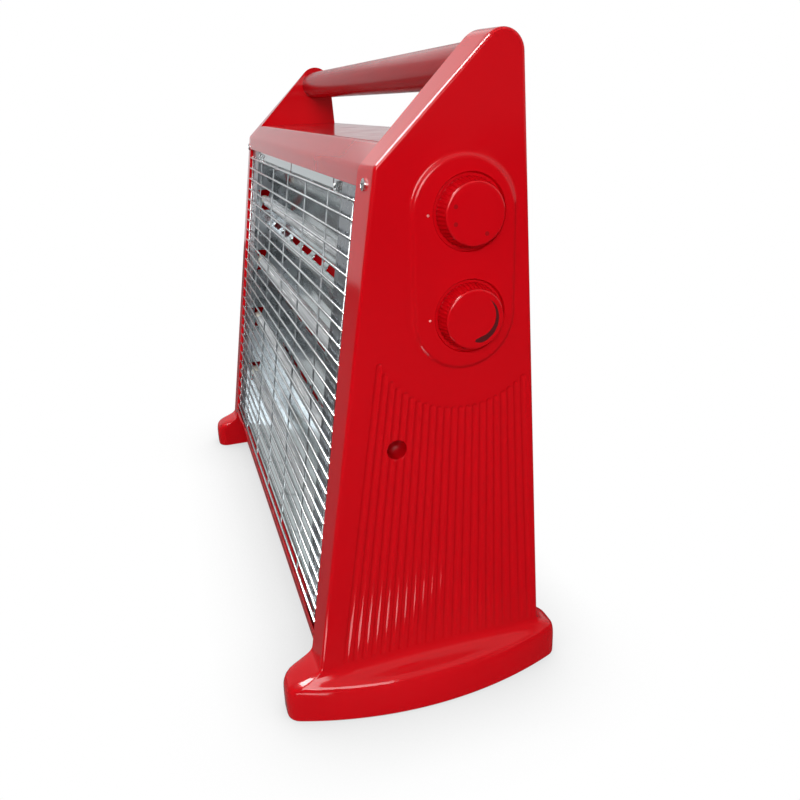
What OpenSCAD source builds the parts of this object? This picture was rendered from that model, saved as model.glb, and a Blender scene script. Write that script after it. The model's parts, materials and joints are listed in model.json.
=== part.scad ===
// Quartz-tube fan heater: two moulded side panels joined by a carrying handle,
// a folded steel body, a wire grille, four quartz tubes before a polished
// reflector, and an axial fan behind it. Front faces -Y, floor is z = 0.

/* [Overall] */
// Height from the floor to the top of the ears
overall_h = 462; // [440:1:480]
// Clear width between the two side panels
inner_w = 484; // [470:1:540]
// Thickness of a side panel from its inner to its outer face
panel_t = 28; // [26:0.5:34]
// Wall of the panel's edges
wall = 3.5; // [3:0.1:4]
// Wall of the panel's outer face
face_wall = 4.5; // [4:0.1:5.5]

/* [Side profile] */
// Front edge of the panel at the top of the foot
front_foot_y = -85.5; // [-90:0.5:-80]
// Rear edge of the panel at the top of the foot
rear_foot_y = 95; // [90:0.5:100]
// Lean of the front edge from the vertical, degrees
front_lean = 9.2; // [8:0.1:10]
// Lean of the rear edge from the vertical, degrees
rear_lean = 3.07; // [2:0.01:4]
// Slope of the edge that climbs to the ear, degrees
ear_slope = 45; // [42:0.5:48]
// Radius of the ear's dome
dome_r = 17.5; // [16:0.5:19]
// Radius of the panel's front corner
corner_r = 10; // [6:0.5:14]
// Rounding of the panel's outer edge
edge_r = 2; // [1:0.5:3]
// Draft of the edge below the ear, from the inner to the outer face
slope_draft = 4; // [2:0.5:5]
// Draft of the front edge at its top, running out at the floor
front_draft = 2; // [1:0.1:2.2]
// Draft of the rear edge
rear_draft = 2; // [1:0.1:3]

/* [Feet] */
// Height of the foot
foot_h = 28; // [24:0.5:32]
// Length of the foot, front to rear
foot_len = 220; // [214:1:236]
// How far the foot's curved side stands out from the panel
foot_bulge = 22; // [16:0.5:28]
// Rounding of the foot's corners seen from above
foot_corner_r = 11; // [8:0.5:13]
// Rounding of the foot's top edge
foot_edge = 6; // [4:0.5:7]

/* [Flutes] */
// Number of flutes on a side panel
flute_n = 22; // [12:1:24]
// Radius of a flute
flute_r = 2.3; // [2:0.1:2.4]
// Depth of a flute in the panel's face
flute_depth = 1.2; // [0.8:0.1:1.6]
// Radius of the arc on which the flutes end, round the foot of the boss
flute_arc_r = 64.6; // [60:0.2:70]
// Height at which the flutes run out above the foot
flute_foot_z = 37; // [34:1:44]
// Height of the point towards which the flutes lean
flute_fan_z = 730; // [650:10:900]
// Margin between the outer flutes and the panel's edges at the foot
flute_margin = 19; // [16:0.5:24]

/* [Handle] */
// Radius of the handle bar
handle_r = 14; // [12:0.5:15]
// Radius of the spigot at each end of the handle
spigot_r = 9; // [7:0.5:10]
// Length of the spigot in the ear
spigot_l = 16; // [10:0.5:18]
// How far the handle sits down the slope from the dome's middle
handle_set = 2.8; // [2:0.2:4]

/* [Folded body] */
// Height of the ears above the top sheet
ear_h = 61.5; // [58:0.5:66]
// Height of the underside of the body
base_z = 41; // [38:0.5:46]
// Thickness of the painted sheets
sheet_t = 1; // [0.8:0.1:1.2]
// Bend radius of the top sheet
bend_r = 5; // [3:0.5:8]
// Height of the fascia's lip below the front corner
lip_h = 11.2; // [8:0.2:14]
// Height of the sill under the grille
sill_h = 11; // [8:0.5:14]
// Length of the top sheet's rear flange
rear_flange_h = 20; // [14:0.5:28]
// Width of the panel's tongue under the sheets
tongue_w = 8; // [6:0.5:12]
// Step from the panel's wall down to the tongue
tongue_step = 0.4; // [0.2:0.1:0.8]

/* [Grille] */
// Pitch of the horizontal wires along the slope
wire_pitch = 12; // [11:0.1:12.2]
// Radius of a horizontal wire
wire_r = 1; // [0.8:0.05:1.2]
// Radius of an upright wire
upright_r = 0.9; // [0.7:0.05:1.1]
// Distance of the first wire below the fascia's lip
wire_first = 9.6; // [7:0.2:12]
// Least distance of the last wire above the sill
wire_last = 4; // [3:0.5:8]
// Pitch of the inner uprights
upright_pitch = 80.5; // [70:0.5:90]
// Gap from a wire's end to the side panel
wire_gap = 3; // [1.5:0.5:6]
// Depth to which the crossing wires are welded together
weld = 0.3; // [0.1:0.05:0.4]

/* [Heating] */
// Distance of the top tube below the fascia's lip
tube_drop = 54.5; // [50:0.5:58]
// Distance of the bottom tube above the sill
tube_rise = 63.5; // [58:0.5:68]
// Depth of the tubes behind the grille's face
tube_depth = 14; // [12:0.5:17]
// Outer radius of a quartz tube
tube_r = 6; // [5:0.25:6.5]
// Wall of a quartz tube
tube_wall = 1; // [0.8:0.1:1.5]
// Length of a quartz tube
tube_l = 352; // [320:1:360]
// Radius of a ceramic cap's neck
cap_r = 4.5; // [3.5:0.1:4.6]
// Length of the neck outside the tube
cap_neck_l = 27; // [24:0.5:32]
// Distance from the middle to a cheek plate
cheek_x = 195; // [188:1:198]
// Thickness of the cheek plates
cheek_t = 1; // [0.8:0.1:1.5]
// Thickness of the reflector sheet
reflector_t = 0.8; // [0.6:0.1:1]
// Place of the back of the troughs
trough_y = -5; // [-8:0.5:0]
// How far the ridges stand out from the troughs
ridge_h = 17; // [12:0.5:18]
// Length of an air slot in the reflector
slot_l = 38; // [24:1:44]
// Height of an air slot
slot_h = 6; // [4:0.5:7]
// Pitch of the air slots
slot_pitch = 54; // [50:1:60]

/* [Controls] */
// Place of the knobs, front to rear
knob_y = 34.2; // [31:0.1:36]
// Distance of the lower knob below the top of the ears
knob_drop = 169.6; // [166:0.2:174]
// Distance between the knobs
knob_gap = 65.8; // [62:0.2:70]
// Radius of a knob's front face
knob_r = 19; // [16:0.5:20]
// Radius of the knob's skirt
skirt_r = 22; // [20.5:0.5:23]
// Height of a knob from the panel's boss
knob_h = 9.5; // [8:0.5:14]
// Number of ribs round a knob
rib_n = 48; // [24:4:60]
// Radius of the boss round the knobs
boss_r = 34; // [32:0.5:36]
// How far the boss's middle lies in front of the knobs
boss_shift = 3.2; // [2:0.1:4]
// Height of the boss
boss_h = 2; // [1:0.1:3]
// Radius of the shallow well round a knob
well_r = 24; // [23.5:0.5:26]
// Depth of the well
well_d = 2.4; // [1.4:0.1:3]
// Radius of the control shafts
shaft_r = 3; // [2.5:0.1:3.5]
// Radius of the threaded bush of a control
bush_r = 5; // [4.5:0.1:6]

/* [Fan] */
// Height of the fan's axis on the rear panel
fan_z = 215; // [205:1:225]
// Radius of the impeller
fan_r = 75; // [60:1:80]
// Number of blades
blade_n = 5; // [3:1:7]
// Depth of the impeller
blade_d = 20; // [14:0.5:24]
// Pitch of a blade, degrees
blade_pitch = 32; // [22:1:40]
// Radius of the impeller's hub
hub_r = 15; // [12:0.5:18]
// Radius of the motor shaft
motor_shaft_r = 2; // [1.6:0.1:2.5]
// Radius of the rotor
rotor_r = 12.5; // [11:0.25:14]
// Thickness of the stack of motor plates
stack_t = 16; // [12:0.5:18]
// Distance from the rear panel to the fan bracket
bracket_w = 36; // [34:0.5:42]
// Thickness of the fan bracket
bracket_t = 1.5; // [1.2:0.1:2]
// Radius of the circle of bracket posts
post_ring_r = 92; // [88:1:98]

/* [Fasteners and fits] */
// Radius of the screw access hole in a side panel
access_r = 7; // [6:0.5:8]
// Place of the access hole, front to rear
access_y = -18; // [-22:0.5:-14]
// Height of the access hole
access_z = 205; // [198:1:212]
// Radius of a screw's shank
screw_r = 1.9; // [1.5:0.1:2.2]
// Radius of a screw's head
head_r = 3.8; // [3:0.1:4.2]
// Height of a screw's head
head_h = 2.4; // [1.8:0.1:3]
// Clearance of pieces that are pushed together
fit = 0.2; // [0.1:0.05:0.3]
// Running clearance of a shaft in its bearing
run_fit = 0.05; // [0.02:0.01:0.08]
// Gap between a moving piece and its surroundings
gap = 0.6; // [0.4:0.1:1]

/* [Hidden] */
$fn = 48;
eps = 0.01;
through = 1;
inner_x = inner_w / 2;
outer_x = inner_x + panel_t;
front_t = tan(front_lean);
rear_t = tan(rear_lean);
tongue_t = wall - sheet_t - tongue_step;
top_z = overall_h - ear_h;
knob_z = overall_h - knob_drop;
knob_zs = [knob_z + knob_gap, knob_z];
boss_y = knob_y - boss_shift;

// Places of the panel's straight edges at a height
function front_y(z) = front_foot_y + (z - foot_h) * front_t;
function rear_y(z) = rear_foot_y - (z - foot_h) * rear_t;

// Centre of the ear's dome
dome_z = overall_h - dome_r;
dome_y = rear_y(dome_z) - dome_r / cos(rear_lean);

// Plane geometry: unit vector, crossing of two lines, arcs and rounded corners
function unit(v) = v / norm(v);
function heading(v) = atan2(v.y, v.x);
function cross2(u, v) = u.x * v.y - u.y * v.x;
function cross_at(p, u, q, v) = p + u * cross2(q - p, v) / cross2(u, v);
function half_turn(a) = a > 180 ? a - 360 : a < -180 ? a + 360 : a;
function arc(c, r, from, sweep, n) = [
    for (i = [0:n])
        let (a = from + sweep * i / n)
        c + r * [cos(a), sin(a)]
];
function fillet(a, b, c, r, n) =
    let (u = unit(a - b), v = unit(c - b), half = acos(u * v) / 2)
    let (centre = b + unit(u + v) * r / sin(half))
    let (from = heading(b + u * r / tan(half) - centre), to = heading(b + v * r / tan(half) - centre))
    arc(centre, r, from, half_turn(to - from), n);
function rounded(p, radii, n) = [
    for (i = [0:len(p) - 1])
        let (before = p[(i + len(p) - 1) % len(p)], after = p[(i + 1) % len(p)])
        each radii[i] > eps ? fillet(before, p[i], after, radii[i], n) : [p[i]]
];
// Moves the edges of a clockwise outline inwards, the one after corner i by d[i]
function inset(p, d) = [
    for (i = [0:len(p) - 1])
        let (before = (i + len(p) - 1) % len(p))
        let (u = unit(p[i] - p[before]), v = unit(p[(i + 1) % len(p)] - p[i]))
        cross_at(p[i] + d[before] * [u.y, -u.x], u, p[i] + d[i] * [v.y, -v.x], v)
];
function inset_all(p, d) = inset(p, [for (q = p) d]);
// Thickens an open line of points by t to its right
function strip(p, t) = concat(p, [
    for (i = [len(p) - 1:-1:0])
        let (u = unit(p[max(i, 1)] - p[max(i, 1) - 1]))
        let (v = unit(p[min(i + 1, len(p) - 1)] - p[min(i + 1, len(p) - 1) - 1]))
        let (n = unit([u.y + v.y, -u.x - v.x]))
        p[i] + n * t / (n * [u.y, -u.x])
]);

// Sharp corners of the side profile, clockwise from the front of the floor
slope_dir = [cos(ear_slope), sin(ear_slope)];
slope_at = [dome_y, dome_z] + dome_r * [-slope_dir.y, slope_dir.x];
rear_dir = [-rear_t, 1];
front_dir = [front_t, 1];
floor_front = [front_y(0), 0];
floor_rear = [rear_y(0), 0];
front_corner = cross_at(floor_front, front_dir, slope_at, slope_dir);
ear_peak = cross_at(slope_at, slope_dir, floor_rear, rear_dir);
lip_z = front_corner.y - lip_h;
// Centre of the handle
handle_y = dome_y - handle_set * slope_dir.x;
handle_z = dome_z - handle_set * slope_dir.y;
// Profile at a share of the draft, inset by d; the front's draft runs out at the floor
function side_outline(share, d, front_share) =
    let (front = front_draft * front_share, slope = slope_draft * share + d)
    rounded(
        inset([floor_front - [front, 0], front_corner, ear_peak, floor_rear],
            [front + d, slope, rear_draft * share + d, 0]),
        [0, max(corner_r - slope, 1), max(dome_r - slope, 1), 0], 10);

// Section of the folded body between the panels, inset by d
body_sharp = [
    [front_y(base_z), base_z],
    front_corner,
    cross_at(slope_at, slope_dir, [0, top_z], [1, 0]),
    [rear_y(top_z), top_z],
    [rear_y(base_z), base_z]
];
function body_outline(d) =
    let (bend = max(bend_r - d, 1))
    rounded(inset_all(body_sharp, d), [bend, max(corner_r - d, 1), bend, bend, bend], 6);

// Draws a Y-Z outline as a solid from x0 to x1
module along_x(x0, x1) {
    translate([x0, 0, 0]) rotate([90, 0, 90]) linear_extrude(x1 - x0) children();
}
// Places children on both sides, the second mirrored
module both_sides() {
    children();
    mirror([1, 0, 0]) children();
}
// Grille face: x across, y down the slope, z into the heater, from the fascia's lip
module front_frame() {
    translate([0, front_y(lip_z), lip_z]) rotate([-90 - front_lean, 0, 0]) children();
}
// Rear panel: x across, y up the slope, z into the heater, from the fan's axis
module rear_frame() {
    translate([0, rear_y(fan_z), fan_z]) rotate([90 + rear_lean, 0, 0]) children();
}
// A control's axis: z points out of the right panel's face
module control_frame(z) {
    translate([outer_x, knob_y, z]) rotate([0, 90, 0]) children();
}
// Height above the fan's axis, along the rear panel, of a height z
function rear_v(z) = (z - fan_z) / cos(rear_lean);

// Oblong cutter of length l across x, height h, depth d along z, about the origin
module oblong(l, h, d) {
    translate([0, 0, -d / 2]) {
        translate([-(l - h) / 2, -h / 2, 0]) cube([l - h, h, d]);
        for (s = [-1, 1]) translate([s * (l - h) / 2, 0, 0]) cylinder(r = h / 2, h = d);
    }
}
module ring(r_out, r_in, h) {
    difference() {
        cylinder(r = r_out, h = h);
        translate([0, 0, -through]) cylinder(r = r_in, h = h + 2 * through);
    }
}
// Pan-head screw: the head's seat is z = 0, the shank goes down
module pan_screw(l) {
    translate([0, 0, -l]) cylinder(r = screw_r, h = l + eps);
    difference() {
        intersection() {
            cylinder(r = head_r, h = head_h);
            translate([0, 0, head_h - 2 * head_r]) sphere(r = 2 * head_r);
        }
        for (a = [0, 90]) rotate(a) translate([-head_r * 0.55, -0.45, head_h * 0.45])
            cube([head_r * 1.1, 0.9, head_h]);
    }
}

// Side panels

// One slice of the foot's plan, inset by d, with its side bulging by b
module foot_slice(z, b, y0, y1, d) {
    half = (y1 - y0) / 2;
    big_r = (half * half + b * b) / (2 * b);
    translate([0, 0, z]) linear_extrude(eps)
        offset(r = foot_corner_r - d, $fn = 24) offset(delta = -foot_corner_r)
            intersection() {
                translate([outer_x + b - big_r, (y0 + y1) / 2]) circle(r = big_r, $fn = 120);
                translate([inner_x, y0]) square([panel_t + b + through, y1 - y0]);
            }
}
module foot_block() {
    half = foot_len / 2;
    hull() {
        foot_slice(0, foot_bulge, -half, half, 0.8);
        foot_slice(1, foot_bulge, -half, half, 0);
        for (a = [0:30:90]) {
            z = foot_h - foot_edge * (1 - sin(a));
            foot_slice(z, foot_bulge, -half, half, foot_edge * (1 - cos(a)));
        }
    }
}
// Hollow curve from the foot's top up to the panel's face, in steps of [rise, bulge, reach]
module foot_sweep() {
    steps = [[-1, 0.68, 14], [1.5, 0.42, 8], [6, 0.2, 3], [15, 0.04, 0]];
    for (i = [0:len(steps) - 2])
        hull() for (s = [steps[i], steps[i + 1]]) {
            z = foot_h + s[0];
            foot_slice(z, foot_bulge * s[1], front_y(z) - s[2], rear_y(z) + s[2], 0);
        }
}
// Thin slice of the panel at a place across it, inset by d
module panel_slice(x, d, front_share) {
    along_x(x, x + eps) polygon(side_outline((x - inner_x) / panel_t, d, front_share));
}
module panel_body() {
    hull() {
        panel_slice(inner_x, 0, 0);
        for (a = [0:30:90]) {
            x = outer_x - edge_r * (1 - sin(a)) - eps;
            panel_slice(x, edge_r * (1 - cos(a)), (x - inner_x) / panel_t);
        }
    }
}
// Cuts across the panel that leave its walls, open inwards between sill and ear
module panel_hollow() {
    ear_z = top_z - wall;
    shut_z = base_z + wall;
    deep = panel_t - wall - face_wall;
    intersection() {
        hull() {
            panel_slice(inner_x + wall, wall, 0);
            panel_slice(outer_x - face_wall - eps, wall, 0);
        }
        translate([inner_x, -foot_len, wall]) cube([panel_t, 2 * foot_len, overall_h]);
    }
    along_x(inner_x - through, inner_x + wall + deep / 2)
        intersection() {
            polygon(side_outline(0.5, wall, 0));
            translate([-foot_len, shut_z]) square([2 * foot_len, ear_z - shut_z]);
        }
}
// Tongue on which the folded sheets lie, open along the grille
module panel_tongue() {
    along_x(inner_x - tongue_w, inner_x + through)
        difference() {
            polygon(body_outline(sheet_t));
            polygon(body_outline(sheet_t + tongue_t));
            translate([-foot_len, base_z + sill_h]) square([foot_len, lip_z - base_z - sill_h]);
        }
}
function flute_foot_y(i) =
    let (y0 = front_y(flute_foot_z) + flute_margin, y1 = rear_y(flute_foot_z) - flute_margin / 2)
    y0 + (y1 - y0) * i / (flute_n - 1);
// Round-ended cutter of one flute, standing on its lower end
module flute_cutter(l) {
    rotate_extrude() {
        square([flute_r, l]);
        translate([0, l]) intersection() {
            circle(r = flute_r);
            square(flute_r);
        }
    }
}
// Fanned flutes, each ending in a round on the arc below the boss
module flutes() {
    apex = [front_y(flute_fan_z) + flute_margin, flute_fan_z];
    x = outer_x + flute_r - flute_depth;
    for (i = [0:flute_n - 1]) {
        low = [flute_foot_y(i), flute_foot_z];
        dir = unit(apex - low);
        to_arc = [boss_y, knob_z] - low;
        along = to_arc * dir;
        off = norm(to_arc - along * dir);
        l = along - sqrt(max(flute_arc_r * flute_arc_r - off * off, 1));
        translate([x, low.x, low.y]) rotate([-heading([dir.y, dir.x]), 0, 0]) flute_cutter(l);
    }
}
// A panel's inner face: z points out through the panel, at a place on the side profile
module panel_frame(y, z) {
    translate([inner_x, y, z]) rotate([0, 90, 0]) children();
}
// Tube in the panel down which the side screw is reached, with its floor
access_floor = 3;
access_wall = 2.5;
core_l = panel_t - face_wall + through;
module access_tube() {
    panel_frame(access_y, access_z) cylinder(r = access_r + access_wall, h = core_l);
}
module access_bore() {
    panel_frame(access_y, access_z) {
        translate([0, 0, access_floor]) cylinder(r = access_r, h = panel_t);
        translate([0, 0, -through]) cylinder(r = screw_r + fit, h = access_floor + 2 * through);
    }
}
module handle_socket() {
    panel_frame(handle_y, handle_z) cylinder(r = spigot_r + wall, h = core_l);
}
module handle_bore() {
    panel_frame(handle_y, handle_z) translate([0, 0, -through])
        cylinder(r = spigot_r + fit, h = spigot_l + fit + through);
}
// Height of the flange screw on the panel's front wall, along the slope above the lip
flange_screw_v = 2;
flange_screw_end = 4;
flange_screw_x = inner_x + panel_t / 2;
flange_seat = front_draft * (flange_screw_x + head_r - inner_x) / panel_t;
module flange_bore() {
    front_frame() translate([flange_screw_x, -flange_screw_v, -through]) {
        cylinder(r = screw_r + fit, h = wall + cheek_t + 2 * through);
        cylinder(r = head_r + fit, h = flange_seat + through);
    }
}
// Rear screws hold the rear panel to the tongues
rear_screw_zs = [base_z + 26, fan_z, top_z - rear_flange_h - 14];
rear_screw_x = inner_x - tongue_w / 2;
rear_boss_l = 7;
module rear_bosses() {
    for (z = rear_screw_zs)
        rear_frame() translate([rear_screw_x, rear_v(z), sheet_t]) {
            cylinder(r = tongue_w / 2, h = tongue_t + rear_boss_l);
            translate([0, -tongue_w / 2, 0])
                cube([tongue_w / 2 + through, tongue_w, tongue_t + rear_boss_l]);
        }
}
module rear_bores() {
    for (z = rear_screw_zs)
        rear_frame() translate([rear_screw_x, rear_v(z), -through])
            cylinder(r = screw_r + fit, h = sheet_t + tongue_t + rear_boss_l - 1);
}
module plain_panel() {
    difference() {
        union() {
            difference() {
                union() {
                    panel_body();
                    foot_block();
                    foot_sweep();
                }
                panel_hollow();
                flutes();
            }
            access_tube();
            handle_socket();
            panel_tongue();
            rear_bosses();
        }
        access_bore();
        handle_bore();
        flange_bore();
        rear_bores();
    }
}
module boss_pad() {
    translate([outer_x - through, boss_y, knob_z]) rotate([0, 90, 0]) {
        for (d = [0, knob_gap]) translate([-d, 0, 0]) cylinder(r = boss_r, h = boss_h + through);
        translate([-knob_gap, -boss_r, 0]) cube([knob_gap, 2 * boss_r, boss_h + through]);
    }
}
index_r = 1.2;
index_off = well_r + 3.5;
module right_side_panel() {
    color("crimson") difference() {
        union() {
            plain_panel();
            boss_pad();
            for (z = knob_zs) control_frame(z)
                translate([0, -index_off, boss_h - index_r / 2]) sphere(r = index_r);
        }
        for (z = knob_zs) control_frame(z) {
            translate([0, 0, boss_h - well_d]) cylinder(r = well_r, h = through + well_d);
            translate([0, 0, -panel_t]) cylinder(r = bush_r + fit, h = 2 * panel_t);
        }
    }
}
module left_side_panel() {
    color("crimson") mirror([1, 0, 0]) plain_panel();
}

// Handle and folded body

// Tubular handle with a stepped spigot at each end
handle_wall = 2.5;
module handle_half(wall_t) {
    cylinder(r = handle_r - wall_t, h = inner_x - wall_t);
    cylinder(r = spigot_r - wall_t, h = inner_x + spigot_l + wall_t / 2);
}
module handle_bar() {
    color("firebrick") difference() {
        both_sides() translate([0, handle_y, handle_z]) rotate([0, 90, 0]) handle_half(0);
        both_sides() translate([0, handle_y, handle_z]) rotate([0, 90, 0]) handle_half(handle_wall);
    }
}
// Part of the folded skin that lies inside a Y-Z window
module skin(y0, z0, y1, z1) {
    along_x(-inner_x, inner_x)
        intersection() {
            difference() {
                polygon(body_outline(0));
                polygon(body_outline(sheet_t));
            }
            translate([y0, z0]) square([y1 - y0, z1 - z0]);
        }
}
rear_split_z = top_z - rear_flange_h;
module body_cover() {
    color("crimson") {
        skin(-foot_len, lip_z, 0, overall_h);
        skin(-eps, rear_split_z, foot_len, overall_h);
    }
}
module base_pan() {
    color("firebrick") skin(-foot_len, 0, foot_len, base_z + sill_h);
}

// Rear panel with a ring pattern of air slots before the fan and two rows of louvres
intake_rings = [24, 38, 52, 66];
intake_w = 6;
gland_r = 7.5;
gland_x = inner_x - 52;
gland_z = base_z + 40;
vent_n = 12;
vent_l = 26;
vent_pitch = 34;
vent_h = 5;
vent_zs = [rear_split_z - 22, rear_split_z - 36];
module air_ring(r) {
    difference() {
        translate([0, 0, -through]) ring(r + intake_w / 2, r - intake_w / 2, sheet_t + 2 * through);
        for (a = [45:90:315]) rotate(a)
            translate([0, -4, -2 * through]) cube([2 * fan_r, 8, sheet_t + 4 * through]);
    }
}
module rear_panel() {
    color("crimson") difference() {
        skin(0, base_z + sill_h + fit, foot_len, rear_split_z - fit);
        rear_frame() {
            for (r = intake_rings) air_ring(r);
            translate([gland_x, rear_v(gland_z), -through])
                cylinder(r = gland_r + fit, h = 2 * through + sheet_t);
            for (z = vent_zs, i = [0:vent_n - 1])
                translate([(i - (vent_n - 1) / 2) * vent_pitch, rear_v(z), 0])
                    oblong(vent_l, vent_h, 4 * through);
        }
        at_posts() translate([0, 0, -through]) cylinder(r = screw_r + fit, h = 2 * through + sheet_t);
        both_sides() rear_bores();
    }
}

// Reflector: top lip, four troughs with ridges between the tubes, sloping floor
tube_top_z = lip_z - tube_drop;
tube_pitch = (tube_top_z - base_z - sill_h - tube_rise) / 3;
function tube_z(i) = tube_top_z - i * tube_pitch;
function tube_y(z) = front_y(z) + tube_depth / cos(front_lean);
flange_depth = wall + eps;
lip_depth = flange_depth + cheek_t;
lip_low_z = lip_z - 12;
function at_depth(z, d) = [front_y(z) + d / cos(front_lean), z];
ridge_half = 5;
ridge_run = 15;
ridge_zs = [for (i = [0:2]) tube_z(i) - tube_pitch / 2];
trough_run = 20.5;
lip_tuck = 4;
floor_low_z = base_z + sill_h;
floor_depth = lip_depth + 4;
reflector_line = concat(
    [at_depth(lip_z + lip_tuck, lip_depth), at_depth(lip_low_z, lip_depth)],
    [[trough_y, tube_top_z + trough_run]],
    [for (z = ridge_zs) each [
        [trough_y, z + ridge_half + ridge_run],
        [trough_y - ridge_h, z + ridge_half],
        [trough_y - ridge_h, z - ridge_half],
        [trough_y, z - ridge_half - ridge_run]
    ]],
    [[trough_y, tube_z(3) - trough_run]],
    [at_depth(floor_low_z, floor_depth), at_depth(base_z + sheet_t + fit, floor_depth)]
);
slot_n = 7;
// Slot rows: [ridge, offset up the ridge]
slot_rows = [[0, ridge_half + 4], [0, -ridge_half - 4], [1, 0], [2, 0]];
lip_slit_xs = [-165, 0, 165];
lip_slit_w = 3;
lip_slit_l = 9;
module reflector() {
    color("gainsboro") difference() {
        along_x(-cheek_x, cheek_x) polygon(strip(reflector_line, -reflector_t));
        for (r = slot_rows, i = [0:slot_n - 1])
            translate([(i - (slot_n - 1) / 2) * slot_pitch, trough_y - ridge_h / 2, ridge_zs[r[0]] + r[1]])
                rotate([90, 0, 0]) oblong(slot_l, slot_h, 2 * ridge_h);
        front_frame() for (x = lip_slit_xs)
            translate([x - lip_slit_w / 2, through, lip_depth - through])
                cube([lip_slit_w, lip_slit_l, reflector_t + 2 * through]);
    }
}
// Cheek plate: web beside the reflector, front flange behind the panel's wall, side bracket
cheek_back_y = trough_y + reflector_t + 8;
flange_reach = flange_screw_x + head_r + through - inner_x;
bow_tie_in = 2;
bow_tie_out = 7.5;
bow_tie_h = 11.5;
cap_fit_r = cap_r + fit;
bracket_half = 8;
bracket_drop = 12;
module right_cheek() {
    low_z = base_z + sheet_t;
    high_z = lip_z + lip_tuck;
    flange_low_z = floor_low_z + 4;
    color("silver") difference() {
        union() {
            along_x(cheek_x, cheek_x + cheek_t) polygon([
                at_depth(low_z, floor_depth), at_depth(floor_low_z, flange_depth), at_depth(high_z, flange_depth),
                [cheek_back_y, high_z], [cheek_back_y, low_z]
            ]);
            along_x(cheek_x, inner_x + flange_reach) polygon([
                at_depth(flange_low_z, flange_depth), at_depth(high_z, flange_depth),
                at_depth(high_z, lip_depth), at_depth(flange_low_z, lip_depth)
            ]);
            translate([cheek_x, access_y - bracket_half, access_z - bracket_drop])
                cube([inner_x - cheek_x, 2 * bracket_half, cheek_t]);
            translate([inner_x - cheek_t, access_y - bracket_half, access_z - bracket_drop])
                cube([cheek_t, 2 * bracket_half, bracket_drop + bracket_half]);
        }
        for (i = [0:3]) translate([cheek_x, tube_y(tube_z(i)), tube_z(i)]) {
            translate([-through, 0, 0]) rotate([0, 90, 0]) cylinder(r = cap_fit_r, h = 3 * through);
            for (a = [0, 180]) rotate([a, 0, 0]) along_x(-through, 2 * through) polygon([
                [-bow_tie_in, 0], [-bow_tie_out, bow_tie_h], [bow_tie_out, bow_tie_h], [bow_tie_in, 0]
            ]);
        }
        flange_bore();
        translate([inner_x - 2 * cheek_t, access_y, access_z]) rotate([0, 90, 0])
            cylinder(r = screw_r + fit, h = 4 * cheek_t);
    }
}
module left_cheek() {
    mirror([1, 0, 0]) right_cheek();
}

// Quartz tubes, coils, ceramic caps and terminals
module at_tube(i) {
    translate([0, tube_y(tube_z(i)), tube_z(i)]) rotate([0, 90, 0]) children();
}
module quartz_tube(i) {
    color("whitesmoke") at_tube(i) translate([0, 0, -tube_l / 2]) ring(tube_r, tube_r - tube_wall, tube_l);
}
plug_l = 12;
plug_r = tube_r - tube_wall - fit;
coil_r = 3;
pin_r = 1.5;
pin_l = 10;
module heating_coils() {
    color("dimgray") for (i = [0:3]) at_tube(i)
        translate([0, 0, plug_l - tube_l / 2]) cylinder(r = coil_r, h = tube_l - 2 * plug_l);
}
module ceramic_caps() {
    color("ivory") both_sides() for (i = [0:3]) at_tube(i) difference() {
        union() {
            translate([0, 0, tube_l / 2 - plug_l]) cylinder(r = plug_r, h = plug_l);
            translate([0, 0, tube_l / 2]) cylinder(r = cap_r, h = cap_neck_l);
        }
        translate([0, 0, tube_l / 2 + cap_neck_l - pin_l]) cylinder(r = pin_r, h = pin_l + through);
    }
}
module terminal_pins() {
    color("goldenrod") both_sides() for (i = [0:3]) at_tube(i) difference() {
        translate([0, 0, tube_l / 2 + cap_neck_l - pin_l]) cylinder(r = pin_r, h = 2 * pin_l);
        translate([0, -through / 4, tube_l / 2 + cap_neck_l + 2]) cube([2 * pin_r, through / 2, pin_l]);
    }
}

// Front grille: horizontal wires welded onto uprights that lie on the cheeks' flanges
wire_half = inner_x - wire_gap;
grille_l = (lip_z - base_z - sill_h) / cos(front_lean);
wire_n = floor((grille_l - wire_first - wire_last) / wire_pitch) + 1;
upright_w = wall - upright_r - eps;
wire_w = upright_w - upright_r - wire_r + weld;
upright_l = (wire_n - 1) * wire_pitch + 2 * wire_r;
side_upright_x = wire_half - 8;
upright_xs = concat([-side_upright_x], [for (i = [-2:2]) i * upright_pitch], [side_upright_x]);
module front_grille() {
    color("silver") front_frame() {
        for (i = [0:wire_n - 1])
            translate([-wire_half, wire_first + i * wire_pitch, wire_w]) rotate([0, 90, 0])
                cylinder(r = wire_r, h = 2 * wire_half, $fn = 16);
        for (x = upright_xs)
            translate([x, wire_first - wire_r, upright_w]) rotate([-90, 0, 0])
                cylinder(r = upright_r, h = upright_l, $fn = 16);
    }
}
// Clips that hook the top wire to the reflector's lip
clip_x = cheek_x - 15;
clip_w = 7;
clip_t = lip_depth - wire_w - wire_r;
clip_v = 2;
stud_r = 1.8;
stud_h = 1.2;
module grille_clips() {
    color("silver") both_sides() front_frame()
        translate([clip_x - clip_w / 2, clip_v, lip_depth - clip_t]) {
            cube([clip_w, wire_first - wire_r - clip_v - fit, clip_t]);
            translate([clip_w / 2, (wire_first - wire_r - clip_v) / 2, 0]) rotate([180, 0, 0])
                cylinder(r = stud_r, h = stud_h);
        }
}

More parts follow.
